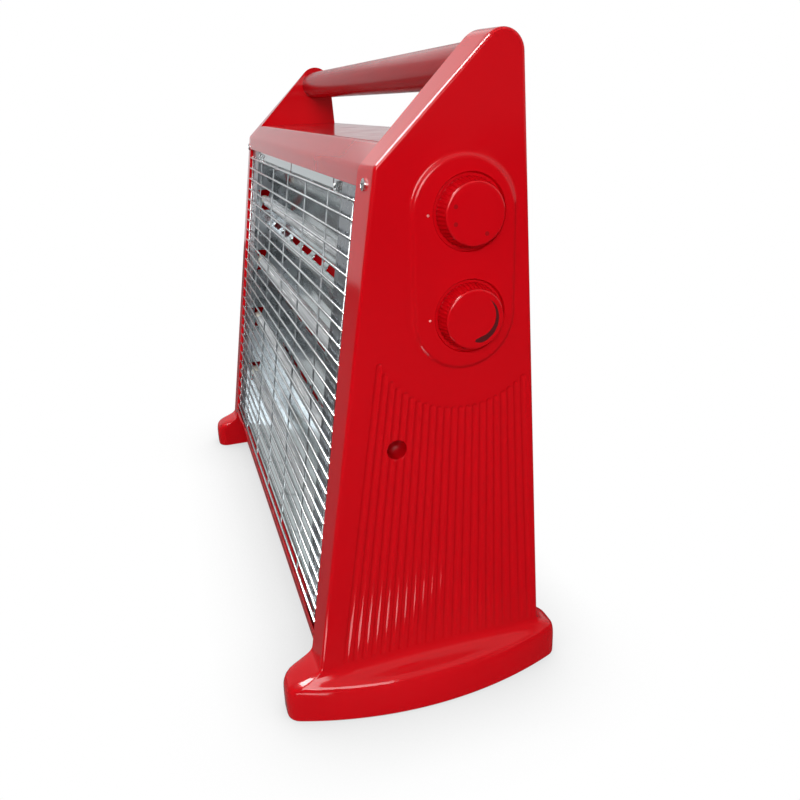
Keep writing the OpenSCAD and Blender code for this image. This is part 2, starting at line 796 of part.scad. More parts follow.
// Screws
module side_screws() {
    color("silver") both_sides()
        panel_frame(access_y, access_z) translate([0, 0, access_floor]) pan_screw(access_floor + 6);
}
module flange_screws() {
    color("silver") both_sides()
        front_frame() translate([flange_screw_x, -flange_screw_v, flange_seat]) rotate([180, 0, 0])
            pan_screw(wall + flange_screw_end);
}
module rear_screws() {
    color("silver") both_sides() for (z = rear_screw_zs)
        rear_frame() translate([rear_screw_x, rear_v(z), 0]) rotate([180, 0, 0])
            pan_screw(sheet_t + tongue_t + rear_boss_l - 3);
}

// Controls on the right panel: switch or thermostat body, shaft, nut and knob
nut_h = 2;
nut_r = 8;
bush_tip = boss_h - well_d + nut_h;
knob_crown = 3;
shaft_tip = boss_h + knob_h - knob_crown;
body_in = face_wall + eps;
shaft_in = 8;
switch_w = 36;
switch_d = 22;
wafer_r = 15;
wafer_d = 8;
frame_l = 30;
frame_w = 26;
frame_d = 14;
blade_l = 34;
blade_w = 22;
blade_rise = 10;
module control_bush() {
    translate([0, 0, -body_in - eps]) cylinder(r = bush_r, h = body_in + bush_tip + eps);
}
module control_bore(d) {
    translate([0, 0, -body_in - d]) cylinder(r = shaft_r + run_fit, h = d + 2 * panel_t);
}
module selector_switch() {
    color("saddlebrown") control_frame(knob_zs[0]) difference() {
        union() {
            translate([-switch_w / 2, -switch_w / 2, -body_in - switch_d]) cube([switch_w, switch_w, switch_d]);
            translate([0, 0, -body_in - switch_d - wafer_d]) cylinder(r = wafer_r, h = wafer_d + eps);
            control_bush();
        }
        control_bore(shaft_in + run_fit);
    }
}
module thermostat_body() {
    color("tan") control_frame(knob_zs[1]) difference() {
        union() {
            translate([-frame_l / 2, -frame_w / 2, -body_in - frame_d]) cube([frame_l, frame_w, frame_d]);
            translate([-frame_l / 3, -blade_w / 2, -body_in - frame_d - blade_rise])
                cube([blade_l, blade_w, blade_rise + eps]);
            control_bush();
        }
        control_bore(shaft_in + run_fit);
    }
}
module control_nuts() {
    color("silver") for (z = knob_zs) control_frame(z) translate([0, 0, boss_h - well_d]) difference() {
        cylinder(r = nut_r, h = nut_h, $fn = 6);
        translate([0, 0, -through]) cylinder(r = bush_r + eps, h = nut_h + 2 * through);
    }
}
module control_shaft(z) {
    color("silver") control_frame(z) translate([0, 0, -body_in - shaft_in])
        cylinder(r = shaft_r, h = body_in + shaft_in + shaft_tip);
}
// Knob: ribbed skirt, crowned face, hollow behind, with a socket for the shaft
knob_base = boss_h - well_d + gap;
knob_top = boss_h + knob_h;
knob_wall = 2.5;
knob_boss_r = 6;
rib_h = 0.7;
crown_h = 4;
crown_r = 1.6;
pointer_in = 4;
module knob(z) {
    core_r = skirt_r - rib_h - rib_h / 2;
    rib_top = knob_top - crown_h;
    color("crimson") control_frame(z) difference() {
        union() {
            translate([0, 0, knob_base]) linear_extrude(rib_top - knob_base) polygon([
                for (i = [0:2 * rib_n - 1])
                    let (r = skirt_r - rib_h * (i % 2), a = 180 * i / rib_n)
                    r * [cos(a), sin(a)]
            ]);
            rotate_extrude() polygon(concat(
                [[0, knob_base], [core_r, knob_base], [core_r, rib_top]],
                arc([knob_r + rib_h - crown_r, knob_top - crown_r], crown_r, 10, 80, 5),
                [[0, knob_top]]
            ));
        }
        difference() {
            translate([0, 0, knob_base - through])
                cylinder(r = knob_r - knob_wall, h = knob_top - knob_base - knob_wall + through);
            cylinder(r = knob_boss_r, h = knob_top);
        }
        translate([0, 0, knob_base - through])
            cylinder(r = nut_r + gap, h = bush_tip + gap + through - knob_base);
        translate([0, 0, -through]) cylinder(r = shaft_r + eps, h = shaft_tip + through + eps);
        translate([0, -knob_r + pointer_in, knob_top]) sphere(r = index_r);
    }
}
module selector_knob() {
    knob(knob_zs[0]);
}
module thermostat_knob() {
    knob(knob_zs[1]);
}

// Fan: impeller next to the rear panel, bracket on posts, shaded-pole motor before it
post_angles = [45:90:315];
post_r = 4;
post_pad_r = 7;
plate_w = 62;
plate_h = 56;
plate_top = 20;
rotor_gap = 0.4;
bearing_r = 7;
bearing_h = 6;
strap_t = 2;
strap_leg = 7;
strap_w = 15;
strap_leg_r = 5;
motor_screw_x = 19;
rear_strap_w = bracket_w + bracket_t;
stack_w0 = rear_strap_w + strap_t + strap_leg;
front_strap_w = stack_w0 + stack_t + strap_leg;
fan_gap = 8;
fan_w0 = bracket_w - fan_gap - blade_d;
hub_cap = 3;
module at_posts() {
    rear_frame() for (a = post_angles) rotate(a) translate([post_ring_r, 0, 0]) children();
}
module bracket_posts() {
    color("silver") at_posts() translate([0, 0, sheet_t]) difference() {
        cylinder(r = post_r, h = bracket_w - sheet_t);
        translate([0, 0, -through]) cylinder(r = screw_r + fit, h = bracket_w + 2 * through);
    }
}
// Each post is held by a screw at both ends
module post_screws() {
    color("silver") at_posts() {
        rotate([180, 0, 0]) pan_screw(bracket_w / 3);
        translate([0, 0, bracket_w + bracket_t]) pan_screw(bracket_w / 3);
    }
}
module fan_bracket() {
    color("lightsteelblue") difference() {
        rear_frame() translate([0, 0, bracket_w]) {
            for (a = post_angles) rotate(a) {
                translate([0, -post_pad_r, 0]) cube([post_ring_r, 2 * post_pad_r, bracket_t]);
                translate([post_ring_r, 0, 0]) cylinder(r = post_pad_r, h = bracket_t);
            }
            cylinder(r = motor_screw_x + strap_leg_r, h = bracket_t);
        }
        at_posts() translate([0, 0, bracket_w - through])
            cylinder(r = screw_r + fit, h = bracket_t + 2 * through);
        rear_frame() translate([0, 0, bracket_w - through]) {
            cylinder(r = bearing_r + fit, h = bracket_t + 2 * through);
            motor_holes(bracket_t + 2 * through);
        }
    }
}
module motor_holes(h) {
    for (s = [-1, 1]) translate([s * motor_screw_x, 0, 0]) cylinder(r = screw_r + fit, h = h);
}
// Stack of plates with two windows that the coil is wound through
limb_w = 21;
window_w = 13;
window_low = 10;
window_h = plate_h - plate_top - bearing_r - 2 * window_low + limb_w / 2;
module motor_stator() {
    color("dimgray") rear_frame() translate([0, 0, stack_w0]) difference() {
        translate([-plate_w / 2, plate_top - plate_h, 0]) cube([plate_w, plate_h, stack_t]);
        translate([0, 0, -through]) {
            cylinder(r = rotor_r + rotor_gap, h = stack_t + 2 * through);
            motor_holes(stack_t + 2 * through);
            for (s = [-1, 1])
                translate([s * (limb_w + window_w) / 2 - window_w / 2, plate_top - plate_h + window_low, 0])
                    cube([window_w, window_h, stack_t + 2 * through]);
        }
    }
}
coil_end = 6;
module motor_coil() {
    wide = limb_w + 2 * window_w - 2 * fit;
    high = window_h - 2 * fit;
    low = plate_top - plate_h + window_low + fit;
    color("peru") rear_frame() translate([0, low, stack_w0]) difference() {
        translate([-wide / 2, 0, -coil_end]) cube([wide, high, stack_t + 2 * coil_end]);
        translate([-limb_w / 2 - fit, -through, -fit])
            cube([limb_w + 2 * fit, high + 2 * through, stack_t + 2 * fit]);
    }
}
// Strap with two legs on the stack and a bearing in its middle, legs up, bearing down
module bearing_strap() {
    difference() {
        union() {
            translate([-motor_screw_x - strap_leg_r, -strap_w / 2, 0])
                cube([2 * (motor_screw_x + strap_leg_r), strap_w, strap_t]);
            for (s = [-1, 1]) translate([s * motor_screw_x, 0, 0])
                cylinder(r = strap_leg_r, h = strap_t + strap_leg);
            translate([0, 0, strap_t - bearing_h]) cylinder(r = bearing_r, h = bearing_h);
        }
        translate([0, 0, -bearing_h]) cylinder(r = motor_shaft_r + run_fit, h = 2 * bearing_h);
        translate([0, 0, -through]) motor_holes(strap_t + strap_leg + 2 * through);
    }
}
module rear_bearing() {
    color("goldenrod") rear_frame() translate([0, 0, rear_strap_w]) bearing_strap();
}
module front_bearing() {
    color("goldenrod") rear_frame() translate([0, 0, front_strap_w + strap_t])
        mirror([0, 0, 1]) bearing_strap();
}
module motor_screws() {
    color("silver") rear_frame() for (s = [-1, 1])
        translate([s * motor_screw_x, 0, front_strap_w + strap_t])
            pan_screw(front_strap_w + strap_t - bracket_w);
}
module motor_shaft() {
    color("silver") rear_frame() translate([0, 0, fan_w0 + hub_cap])
        cylinder(r = motor_shaft_r, h = front_strap_w + bearing_h - fan_w0 - hub_cap);
}
module motor_rotor() {
    color("slategray") rear_frame() translate([0, 0, stack_w0])
        ring(rotor_r, motor_shaft_r + eps, stack_t);
}
blade_t = 1.6;
module fan_impeller() {
    color("darkslategray") rear_frame() translate([0, 0, fan_w0]) difference() {
        union() {
            cylinder(r = hub_r, h = blade_d);
            for (i = [0:blade_n - 1]) rotate(i * 360 / blade_n) intersection() {
                ring(fan_r, hub_r - 1, blade_d);
                translate([hub_r - 2, 0, blade_d / 2]) rotate([blade_pitch, 0, 0])
                    translate([0, -1.1 * blade_d, -blade_t / 2]) cube([fan_r, 2.2 * blade_d, blade_t]);
            }
        }
        translate([0, 0, hub_cap - eps]) cylinder(r = motor_shaft_r + eps, h = blade_d);
    }
}

// Electrical pieces inside
block_l = 48;
block_w = 18;
block_h = 16;
block_x = gland_x - 70;
block_y = 50;
block_pitch = 11;
block_bore_z = block_h * 0.4;
wire_bore_r = 2.2;
clamp_bore_r = 2;
clamp_off = block_w / 4;
module terminal_block() {
    color("ivory") translate([block_x, block_y, base_z + sheet_t]) difference() {
        translate([-block_l / 2, -block_w / 2, 0]) cube([block_l, block_w, block_h]);
        for (i = [-1.5:1:1.5]) translate([i * block_pitch, 0, block_bore_z]) {
            translate([0, -block_w, 0]) rotate([-90, 0, 0]) cylinder(r = wire_bore_r, h = 2 * block_w);
            for (s = [-1, 1]) translate([0, s * clamp_off, 0]) cylinder(r = clamp_bore_r, h = block_h);
        }
    }
}
cutout_r = 8;
cutout_x = 60;
cutout_h = 9;
cutout_ear_l = 24;
cutout_ear_w = 8;
cutout_ear_t = 1.5;
tag_l = 8;
tag_w = 6;
tag_t = 0.8;
module thermal_cutout() {
    color("black") translate([cutout_x, trough_y + reflector_t, tube_top_z]) rotate([-90, 0, 0]) {
        cylinder(r = cutout_r, h = cutout_h);
        translate([-cutout_ear_l / 2, -cutout_ear_w / 2, 0]) cube([cutout_ear_l, cutout_ear_w, cutout_ear_t]);
        for (s = [-1, 1]) translate([s * cutout_r / 2 - tag_t / 2, -tag_w / 2, cutout_h - eps])
            cube([tag_t, tag_w, tag_l]);
    }
}
// Bush through which the mains lead enters
gland_bore_r = 4;
gland_lip = 3;
gland_l = 12;
gland_ring = 2;
module cord_gland() {
    color("black") rear_frame() translate([gland_x, rear_v(gland_z), 0]) difference() {
        union() {
            translate([0, 0, -gland_lip]) cylinder(r = gland_r + gland_lip, h = gland_lip);
            translate([0, 0, -eps]) cylinder(r = gland_r, h = gland_l);
            translate([0, 0, sheet_t + fit]) cylinder(r = gland_r + gland_ring, h = gland_lip);
        }
        translate([0, 0, -gland_lip - through]) cylinder(r = gland_bore_r, h = gland_lip + gland_l + 2 * through);
    }
}

right_side_panel();
left_side_panel();
handle_bar();
body_cover();
base_pan();
rear_panel();
reflector();
right_cheek();
left_cheek();
quartz_tube(0);  // quartz_tube_1
quartz_tube(1);  // quartz_tube_2
quartz_tube(2);  // quartz_tube_3
quartz_tube(3);  // quartz_tube_4
heating_coils();
ceramic_caps();
terminal_pins();
front_grille();
grille_clips();
side_screws();
flange_screws();
rear_screws();
selector_switch();
control_shaft(knob_zs[0]);  // selector_shaft
selector_knob();
thermostat_body();
control_shaft(knob_zs[1]);  // thermostat_shaft
thermostat_knob();
control_nuts();
bracket_posts();
post_screws();
fan_bracket();
motor_stator();
motor_coil();
rear_bearing();
front_bearing();
motor_screws();
motor_shaft();
motor_rotor();
fan_impeller();
terminal_block();
thermal_cutout();
cord_gland();
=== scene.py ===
import json
import logging
import math
from contextlib import contextmanager
from dataclasses import dataclass
from enum import Enum
from typing import ClassVar, Iterator, Sequence

import bpy
import numpy as np
from bpy.types import Material, Node, NodeSocket, NodeTree, Object
from mathutils import Matrix, Vector

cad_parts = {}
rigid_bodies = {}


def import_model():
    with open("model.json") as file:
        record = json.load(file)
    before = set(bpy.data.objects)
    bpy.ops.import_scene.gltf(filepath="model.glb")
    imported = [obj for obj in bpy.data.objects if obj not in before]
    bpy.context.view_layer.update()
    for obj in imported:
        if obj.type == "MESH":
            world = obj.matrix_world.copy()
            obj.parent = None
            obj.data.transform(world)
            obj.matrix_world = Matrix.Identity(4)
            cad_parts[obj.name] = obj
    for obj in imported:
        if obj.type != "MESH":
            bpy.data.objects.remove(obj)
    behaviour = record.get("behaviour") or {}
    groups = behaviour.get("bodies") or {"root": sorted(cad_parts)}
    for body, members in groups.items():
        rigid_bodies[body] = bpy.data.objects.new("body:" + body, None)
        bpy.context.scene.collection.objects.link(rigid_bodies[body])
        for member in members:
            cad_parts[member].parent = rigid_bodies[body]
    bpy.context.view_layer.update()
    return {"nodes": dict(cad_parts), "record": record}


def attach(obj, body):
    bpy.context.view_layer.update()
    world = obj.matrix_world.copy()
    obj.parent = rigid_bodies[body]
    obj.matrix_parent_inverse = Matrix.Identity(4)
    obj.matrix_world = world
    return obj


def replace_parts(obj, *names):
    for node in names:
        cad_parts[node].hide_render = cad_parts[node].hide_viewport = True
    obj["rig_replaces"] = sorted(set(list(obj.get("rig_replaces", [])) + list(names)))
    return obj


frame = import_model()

MM = 0.001
DOUBLE = 0.002 * MM  # Points nearer than this are one point.
BUMP_H = 0.1 * MM  # The height that a bump of strength one stands for.
NOISE_SPAN = {"From Min": 0.3, "From Max": 0.7}  # Where most of a noise's values lie.
WHITE = "#FFFFFF"
LOG = logging.getLogger("heater")
Point = tuple[float, float, float]
Profile = Sequence[tuple[float, float]]
Marks = dict[str, tuple[Point, float]]


class Side(Enum):
    """The two ends of the heater, by the sign of x."""

    RIGHT = 1
    LEFT = -1


class Body(Enum):
    """The CAD bodies that a piece can ride on."""

    HEATER = "heater"
    SELECTOR = "selector"
    THERMOSTAT = "thermostat"
    FAN = "fan"


class Tool(Enum):
    """What a tool does to the piece it meets."""

    ADDS = "UNION"
    CUTS = "DIFFERENCE"


class Shows(Enum):
    """What a lamp lights: colours and gloss, or one of them alone."""

    BOTH = (True, True)
    IN_COLOUR = (True, False)
    IN_GLOSS = (False, True)


# Colour and node helpers


def linear(hex_colour: str) -> tuple[float, float, float, float]:
    """Turns an sRGB hex colour to linear light.

    Args:
        hex_colour: Six hex digits after a hash sign.

    Returns:
        Red, green, blue and an alpha of one.
    """
    parts = [int(hex_colour[i:i + 2], 16) / 255 for i in (1, 3, 5)]
    r, g, b = (c / 12.92 if c <= 0.04045 else ((c + 0.055) / 1.055) ** 2.4 for c in parts)
    return r, g, b, 1.0


def per_mm(size: float) -> float:
    """Gives the texture scale whose features are about size millimetres wide."""
    return 1.0 / (size * MM)


def add_node(tree: NodeTree, kind: str, inputs: dict | None = None, **settings: object) -> Node:
    """Adds one node with its settings, values and links.

    Args:
        tree: The node tree.
        kind: The node's class name without its ShaderNode prefix.
        inputs: Input name or number to a value, or to the socket that feeds it.
        settings: The node's own properties.

    Returns:
        The new node.
    """
    node = tree.nodes.new("ShaderNode" + kind)
    for name, value in settings.items():
        setattr(node, name, value)
    for name, value in (inputs or {}).items():
        if isinstance(value, NodeSocket):
            tree.links.new(value, node.inputs[name])
        else:
            node.inputs[name].default_value = value
    return node


def new_material(name: str) -> tuple[Material, NodeTree, NodeSocket]:
    """Makes an empty material.

    Args:
        name: The material's name.

    Returns:
        The material, its nodes and the piece's own coordinates.
    """
    material = bpy.data.materials.new(name)
    material.use_nodes = True
    tree = material.node_tree
    tree.nodes.clear()
    return material, tree, add_node(tree, "TexCoord").outputs["Object"]


# Finishes


@dataclass(frozen=True)
class Finish:
    """A surface in two close tones of one colour, with noise in its gloss and its relief."""

    UNEVEN: ClassVar[tuple[float, float]] = (0.75, 1.3)
    CONTRAST: ClassVar[tuple[float, float]] = (0.0, 1.0)

    name: str
    colour: str
    shade: str
    roughness: float = 0.3
    relief: float = 0.05

    @property
    def marks(self) -> Marks:
        """The noise of tone, gloss and relief: its width in x, y and z, and its detail."""
        raise NotImplementedError

    @property
    def sockets(self) -> dict[str, float]:
        """The shader's values that are the same all over."""
        return {"Roughness": self.roughness}

    def build(self) -> Material:
        """Builds the material.

        Returns:
            The material, dressed as its kind says.
        """
        material, tree, place = new_material(self.name)
        noise = {}
        for part, (size, detail) in self.marks.items():
            stretch = add_node(tree, "Mapping", {
                "Vector": place, "Scale": tuple(per_mm(s) for s in size)})
            noise[part] = add_node(tree, "TexNoise", {
                "Vector": stretch.outputs["Vector"], "Scale": 1.0, "Detail": detail}).outputs["Fac"]
        low, high = self.CONTRAST
        tone = add_node(tree, "MapRange", {
            "Value": noise["tone"], "From Min": low, "From Max": high})
        tint = add_node(tree, "Mix", {
            "Factor": tone.outputs["Result"], "A": linear(self.shade), "B": linear(self.colour)},
            data_type="RGBA")
        inputs = {**self.sockets, "Base Color": tint.outputs["Result"]}
        if "gloss" in noise:
            least, most = (self.roughness * u for u in self.UNEVEN)
            inputs["Roughness"] = add_node(tree, "MapRange", {
                "Value": noise["gloss"], **NOISE_SPAN, "To Min": least, "To Max": most}
                ).outputs["Result"]
        if "relief" in noise:
            inputs["Normal"] = add_node(tree, "Bump", {
                "Height": noise["relief"], "Strength": self.relief, "Distance": BUMP_H}
                ).outputs["Normal"]
        shader = add_node(tree, "BsdfPrincipled", inputs)
        add_node(tree, "OutputMaterial", {"Surface": shader.outputs["BSDF"]})
        return material


@dataclass(frozen=True)
class GlossPlastic(Finish):
    """Moulded ABS or sprayed enamel: a deep colour under a clear gloss with a faint orange peel."""

    UNEVEN = (0.8, 1.25)

    specular: float = 0.5
    peel_mm: float = 2.5
    relief: float = 0.04

    @property
    def marks(self) -> Marks:
        """Soft clouds in the tone, smears of a few centimetres in the gloss, and the peel."""
        widths = {"tone": (70.0, 3.0), "gloss": (24.0, 5.0), "relief": (self.peel_mm, 2.0)}
        return {part: ((mm, mm, mm), detail) for part, (mm, detail) in widths.items()}

    @property
    def sockets(self) -> dict[str, float]:
        """The refraction and the strength of the gloss."""
        return {"IOR": 1.5, "Specular IOR Level": self.specular}


@dataclass(frozen=True)
class Metal(Finish):
    """Rolled, drawn or plated metal: a coloured mirror softened by lines along its working.

    The real lines are finer than a pixel, so they are drawn a few times as wide.
    """

    grain_mm: Point = (2.0, 2.0, 2.0)

    @property
    def marks(self) -> Marks:
        """The same lines in tone, gloss and relief."""
        return {part: (self.grain_mm, 4.0) for part in ("tone", "gloss", "relief")}

    @property
    def sockets(self) -> dict[str, float]:
        """Metal all over."""
        return {"Metallic": 1.0}


@dataclass(frozen=True)
class MilkyQuartz(Finish):
    """Fused quartz drawn into tubes: fine bubbles are stretched into milky lengthwise streaks."""

    UNEVEN = (0.6, 1.5)
    CONTRAST = (0.35, 0.65)

    roughness: float = 0.2
    streak_mm: Point = (60.0, 1.6, 1.6)

    @property
    def marks(self) -> Marks:
        """The same streaks in tone and gloss."""
        return {part: (self.streak_mm, 5.0) for part in ("tone", "gloss")}

    @property
    def sockets(self) -> dict[str, float]:
        """The refraction of quartz, and how much of it is clear."""
        return {"IOR": 1.46, "Transmission Weight": 0.45}


@dataclass(frozen=True)
class MattSolid(Finish):
    """Fired ceramic, resin or nylon: a dull body with a fine grain and soft mottling."""

    relief: float = 0.15

    @property
    def marks(self) -> Marks:
        """Mottling in the tone and grain in the relief; the gloss is even."""
        return {"tone": ((9.0, 9.0, 9.0), 4.0), "relief": ((0.8, 0.8, 0.8), 3.0)}


class Finishes:
    """Every finish of the heater, built once and looked up by the record's slot."""

    SLOTS: dict[str, Finish] = {
        # Red all through, and as glossy as the polished mould.
        "red_moulding": GlossPlastic("moulded_red_ABS", "#CA0512", "#C0040F", roughness=0.1,
                                     specular=0.3, peel_mm=6.0, relief=0.02),
        # A darker red with a duller skin than the panels.
        "red_handle": GlossPlastic("moulded_red_handle", "#9E0911", "#930810", roughness=0.2,
                                   specular=0.075, peel_mm=6.0, relief=0.02),
        # Sprayed on sheet and baked: a clear mirror of the room in a deeper red.
        "red_paint": GlossPlastic("red_stove_enamel", "#B80612", "#AD0510", roughness=0.12,
                                  peel_mm=5.0, relief=0.03),
        # A bright, slightly blurred mirror with long shallow waves from rolling.
        "polished_sheet": Metal("polished_aluminium_sheet", "#D3DADA", "#C8CFCF", roughness=0.15,
                                grain_mm=(160, 14, 14), relief=0.002),
        # A grey half mirror, clouded in patches.
        "zinc_steel": Metal("zinc_plated_steel", "#8F9397", "#83878C", roughness=0.26,
                            grain_mm=(18, 18, 18), relief=0.004),
        # Bright, with faint lines along the drawn wire.
        "bright_wire": Metal("nickel_plated_wire", "#D6D8D8", "#C6C8C9", roughness=0.2,
                             grain_mm=(30, 1.5, 1.5), relief=0.02),
        # Pale and half clear, with streaks along the tube.
        "quartz": MilkyQuartz("milky_fused_quartz", "#E6E8E8", "#B9BDC0"),
        # Off-white and dull, like unglazed china.
        "ceramic": MattSolid("steatite_ceramic", "#E4E0D4", "#D4CFC0", roughness=0.5),
        # A brown-grey skin of oxide that kills the shine.
        "coil_wire": Metal("oxidised_nichrome", "#6A655F", "#4D4844", roughness=0.45),
        # Yellow and half bright from the press.
        "brass": Metal("brass", "#C9A457", "#AD873D", roughness=0.28),
        # Brown-red lacquer, with a line for each turn of the winding.
        "copper": Metal("enamelled_copper_wire", "#B5673A", "#96502B", roughness=0.35,
                        grain_mm=(4, 0.6, 4), relief=0.2),
        # Dark grey, with a line for each plate of the stack.
        "motor_plates": Metal("silicon_steel_plates", "#6F7276", "#54575B", roughness=0.4,
                              grain_mm=(40, 0.5, 40), relief=0.2),
        # Brown and half matt from the press.
        "switch_plastic": MattSolid("phenolic_resin", "#5A3A24", "#4A2E1B", roughness=0.45),
        # Nearly black with a soft sheen.
        "black_plastic": MattSolid("black_nylon", "#1A1A1B", "#121213", roughness=0.5),
        # Pale grey, drawn out by the press.
        "fan_metal": Metal("pressed_aluminium", "#A9ADB1", "#94989C", roughness=0.32,
                           grain_mm=(30, 4, 4), relief=0.08),
    }

    def __init__(self) -> None:
        """Builds every material."""
        self.by_slot = {slot: finish.build() for slot, finish in self.SLOTS.items()}
        # Dark ink that fingers have rubbed down to the red.
        self.ink = GlossPlastic("worn_printing_ink", "#451315", "#5A181A", roughness=0.3,
                                specular=0.3).build()
        # Ink so worn that it only darkens the red.
        self.faded = GlossPlastic("faded_printing_ink", "#980A12", "#A60A12", roughness=0.25,
                                  specular=0.3).build()
        # Painted shade: the same plating in a darker grey for the inner uprights, which stand in
        # the shadow behind the front wires.
        self.shaded_upright_wire = Metal("dull_nickel_plated_wire", "#8B8E90", "#7B7E81", roughness=0.34,
                               grain_mm=(1.5, 1.5, 30), relief=0.02).build()
        # A pale pink on the small moulded domes beside the knobs: a painted highlight for the light
        # they catch.
        self.paint = GlossPlastic("pale_marking_paint", "#EE9C98", "#E48C88", roughness=0.3,
                                  specular=0.4).build()
        self.of_node = {p["node"]: p["material_slot"] for p in frame["record"]["subparts"]}


# Modelling helpers


def deselect() -> None:
    """Leaves edit mode and clears the selection."""
    if bpy.context.object and bpy.context.object.mode != "OBJECT":
        bpy.ops.object.mode_set(mode="OBJECT")
    bpy.ops.object.select_all(action="DESELECT")


def activate(piece: Object) -> None:
    """Makes one object the only selected and active one.

    Args:
        piece: The object.
    """
    deselect()
    piece.select_set(True)
    bpy.context.view_layer.objects.active = piece


@contextmanager
def editing(piece: Object) -> Iterator[None]:
    """Holds a piece in edit mode with its whole mesh selected.

    Args:
        piece: The object.

    Returns:
        A context for mesh operators.
    """
    activate(piece)
    bpy.ops.object.mode_set(mode="EDIT")
    bpy.ops.mesh.select_all(action="SELECT")
    yield
    bpy.ops.object.mode_set(mode="OBJECT")


def mesh_piece(name: str, points: Sequence, edges: Sequence = (), faces: Sequence = ()) -> Object:
    """Makes an object from points in millimetres.

    Args:
        name: The object's name.
        points: Its vertices.
        edges: Pairs of vertex numbers.
        faces: Loops of vertex numbers.

    Returns:
        The object.
    """
    mesh = bpy.data.meshes.new(name)
    mesh.from_pydata([tuple(float(c) * MM for c in p) for p in points], edges, faces)
    piece = bpy.data.objects.new(name, mesh)
    bpy.context.scene.collection.objects.link(piece)
    return piece


def clean(piece: Object) -> None:
    """Merges doubled points and turns all faces outwards.

    Args:
        piece: The object.
    """
    with editing(piece):
        bpy.ops.mesh.remove_doubles(threshold=DOUBLE)
        bpy.ops.mesh.normals_make_consistent(inside=False)


def apply(piece: Object, kind: str, **settings: object) -> None:
    """Adds a modifier and applies it.

    Args:
        piece: The object.
        kind: The modifier's type.
        settings: The modifier's properties.
    """
    activate(piece)
    bpy.ops.object.modifier_add(type=kind)
    modifier = piece.modifiers[-1]
    for key, value in settings.items():
        setattr(modifier, key, value)
    bpy.ops.object.modifier_apply(modifier=modifier.name)


def smooth(piece: Object, degrees: float, weight: int = 0) -> None:
    """Shades a piece smooth, apart from edges sharper than an angle.

    Args:
        piece: The object.
        degrees: The angle.
        weight: How far large faces keep their own normal, up to 100; none at 0.
    """
    activate(piece)
    bpy.ops.object.shade_smooth_by_angle(angle=math.radians(degrees))
    if weight:
        apply(piece, "WEIGHTED_NORMAL", keep_sharp=True, weight=weight)


def combine(piece: Object, tool: Object, work: Tool) -> None:
    """Lets a tool add to a piece or cut it; the tool is used up."""
    apply(piece, "BOOLEAN", object=tool, operation=work.value, solver="EXACT")
    bpy.data.objects.remove(tool)


def move(piece: Object, place: Matrix) -> None:
    """Puts a placing into a piece's mesh.

    Args:
        piece: The object.
        place: The placing, in millimetres.
    """
    metric = place.copy()
    metric.translation = place.translation * MM
    piece.data.transform(metric)
    if metric.determinant() < 0:
        piece.data.flip_normals()
    piece.data.update()


def axis_x(x: float, y: float, z: float) -> Matrix:
    """Gives the placing that turns a piece's z axis along x."""
    return Matrix.Translation((x, y, z)) @ Matrix.Rotation(math.pi / 2, 4, "Y")


def turned(name: str, profile: Profile, steps: int, place: Matrix | None = None) -> Object:
    """Turns a profile about its axis, as on a lathe.

    Args:
        name: The object's name.
        profile: Radius and height of each point, in millimetres.
        steps: Number of faces round.
        place: Where the axis goes; z is the axis.

    Returns:
        The closed piece.
    """
    line = [(r, 0.0, h) for r, h in profile]
    piece = mesh_piece(name, line, [(i, i + 1) for i in range(len(line) - 1)])
    with editing(piece):
        bpy.ops.mesh.spin(steps=steps, angle=math.tau, center=(0, 0, 0), axis=(0, 0, 1))
    clean(piece)
    if place is not None:
        move(piece, place)
    return piece


def rod(r: float, low: float, high: float) -> Profile:
    """Gives the profile of a plain round rod."""
    return (0, low), (r, low), (r, high), (0, high)


def lofted(name: str, loops: Sequence[Sequence[Point]]) -> Object:
    """Spans faces between closed loops of points and caps both ends.

    Args:
        name: The object's name.
        loops: Equally long loops, in millimetres.

    Returns:
        The closed piece.
    """
    n, last = len(loops[0]), len(loops) - 1
    faces = [(j * n + i, j * n + (i + 1) % n, (j + 1) * n + (i + 1) % n, (j + 1) * n + i)
             for j in range(last) for i in range(n)]
    caps = [range(n), range((last + 1) * n - 1, last * n - 1, -1)]
    piece = mesh_piece(name, [p for loop in loops for p in loop], faces=faces + caps)
    clean(piece)
    return piece


def pulled(name: str, line: Profile, x0: float, x1: float, closed: bool) -> Object:
    """Draws a line or an outline in y and z and pulls it along x.

    Args:
        name: The object's name.
        line: Its points.
        x0: Where it starts.
        x1: Where it ends.
        closed: Whether the line is an outline, which makes a closed prism.

    Returns:
        The sheet or the prism.
    """
    order = range(len(line))
    edges, faces = ((), [order]) if closed else (list(zip(order, order[1:])), ())
    piece = mesh_piece(name, [(x0, y, z) for y, z in line], edges, faces)
    with editing(piece):
        bpy.ops.mesh.extrude_region_move(
            TRANSFORM_OT_translate={"value": ((x1 - x0) * MM, 0, 0)})
    if closed:
        clean(piece)
    return piece


def copied(piece: Object, name: str, place: Matrix | None = None) -> Object:
    """Copies a piece with a mesh of its own.

    Args:
        piece: The model.
        name: The copy's name.
        place: Where the copy goes, if it moves.

    Returns:
        The copy.
    """
    twin = piece.copy()
    twin.data = piece.data.copy()
    twin.name = name
    bpy.context.scene.collection.objects.link(twin)
    if place is not None:
        move(twin, place)
    return twin


def joined(name: str, pieces: Sequence[Object]) -> Object:
    """Joins pieces into one object.

    Args:
        name: The object's name.
        pieces: What is joined.

    Returns:
        The object.
    """
    activate(pieces[0])
    for piece in pieces:
        piece.select_set(True)
    bpy.ops.object.join()
    pieces[0].name = name
    return pieces[0]


def eased(t: np.ndarray) -> np.ndarray:
    """Eases a run from 0 to 1 at both ends."""
    return t * t * (3 - 2 * t)


def on_circle(centre: np.ndarray, r: float, angle: float) -> np.ndarray:
    """Gives the point of a circle at an angle."""
    return centre + r * np.array([math.cos(angle), math.sin(angle)])


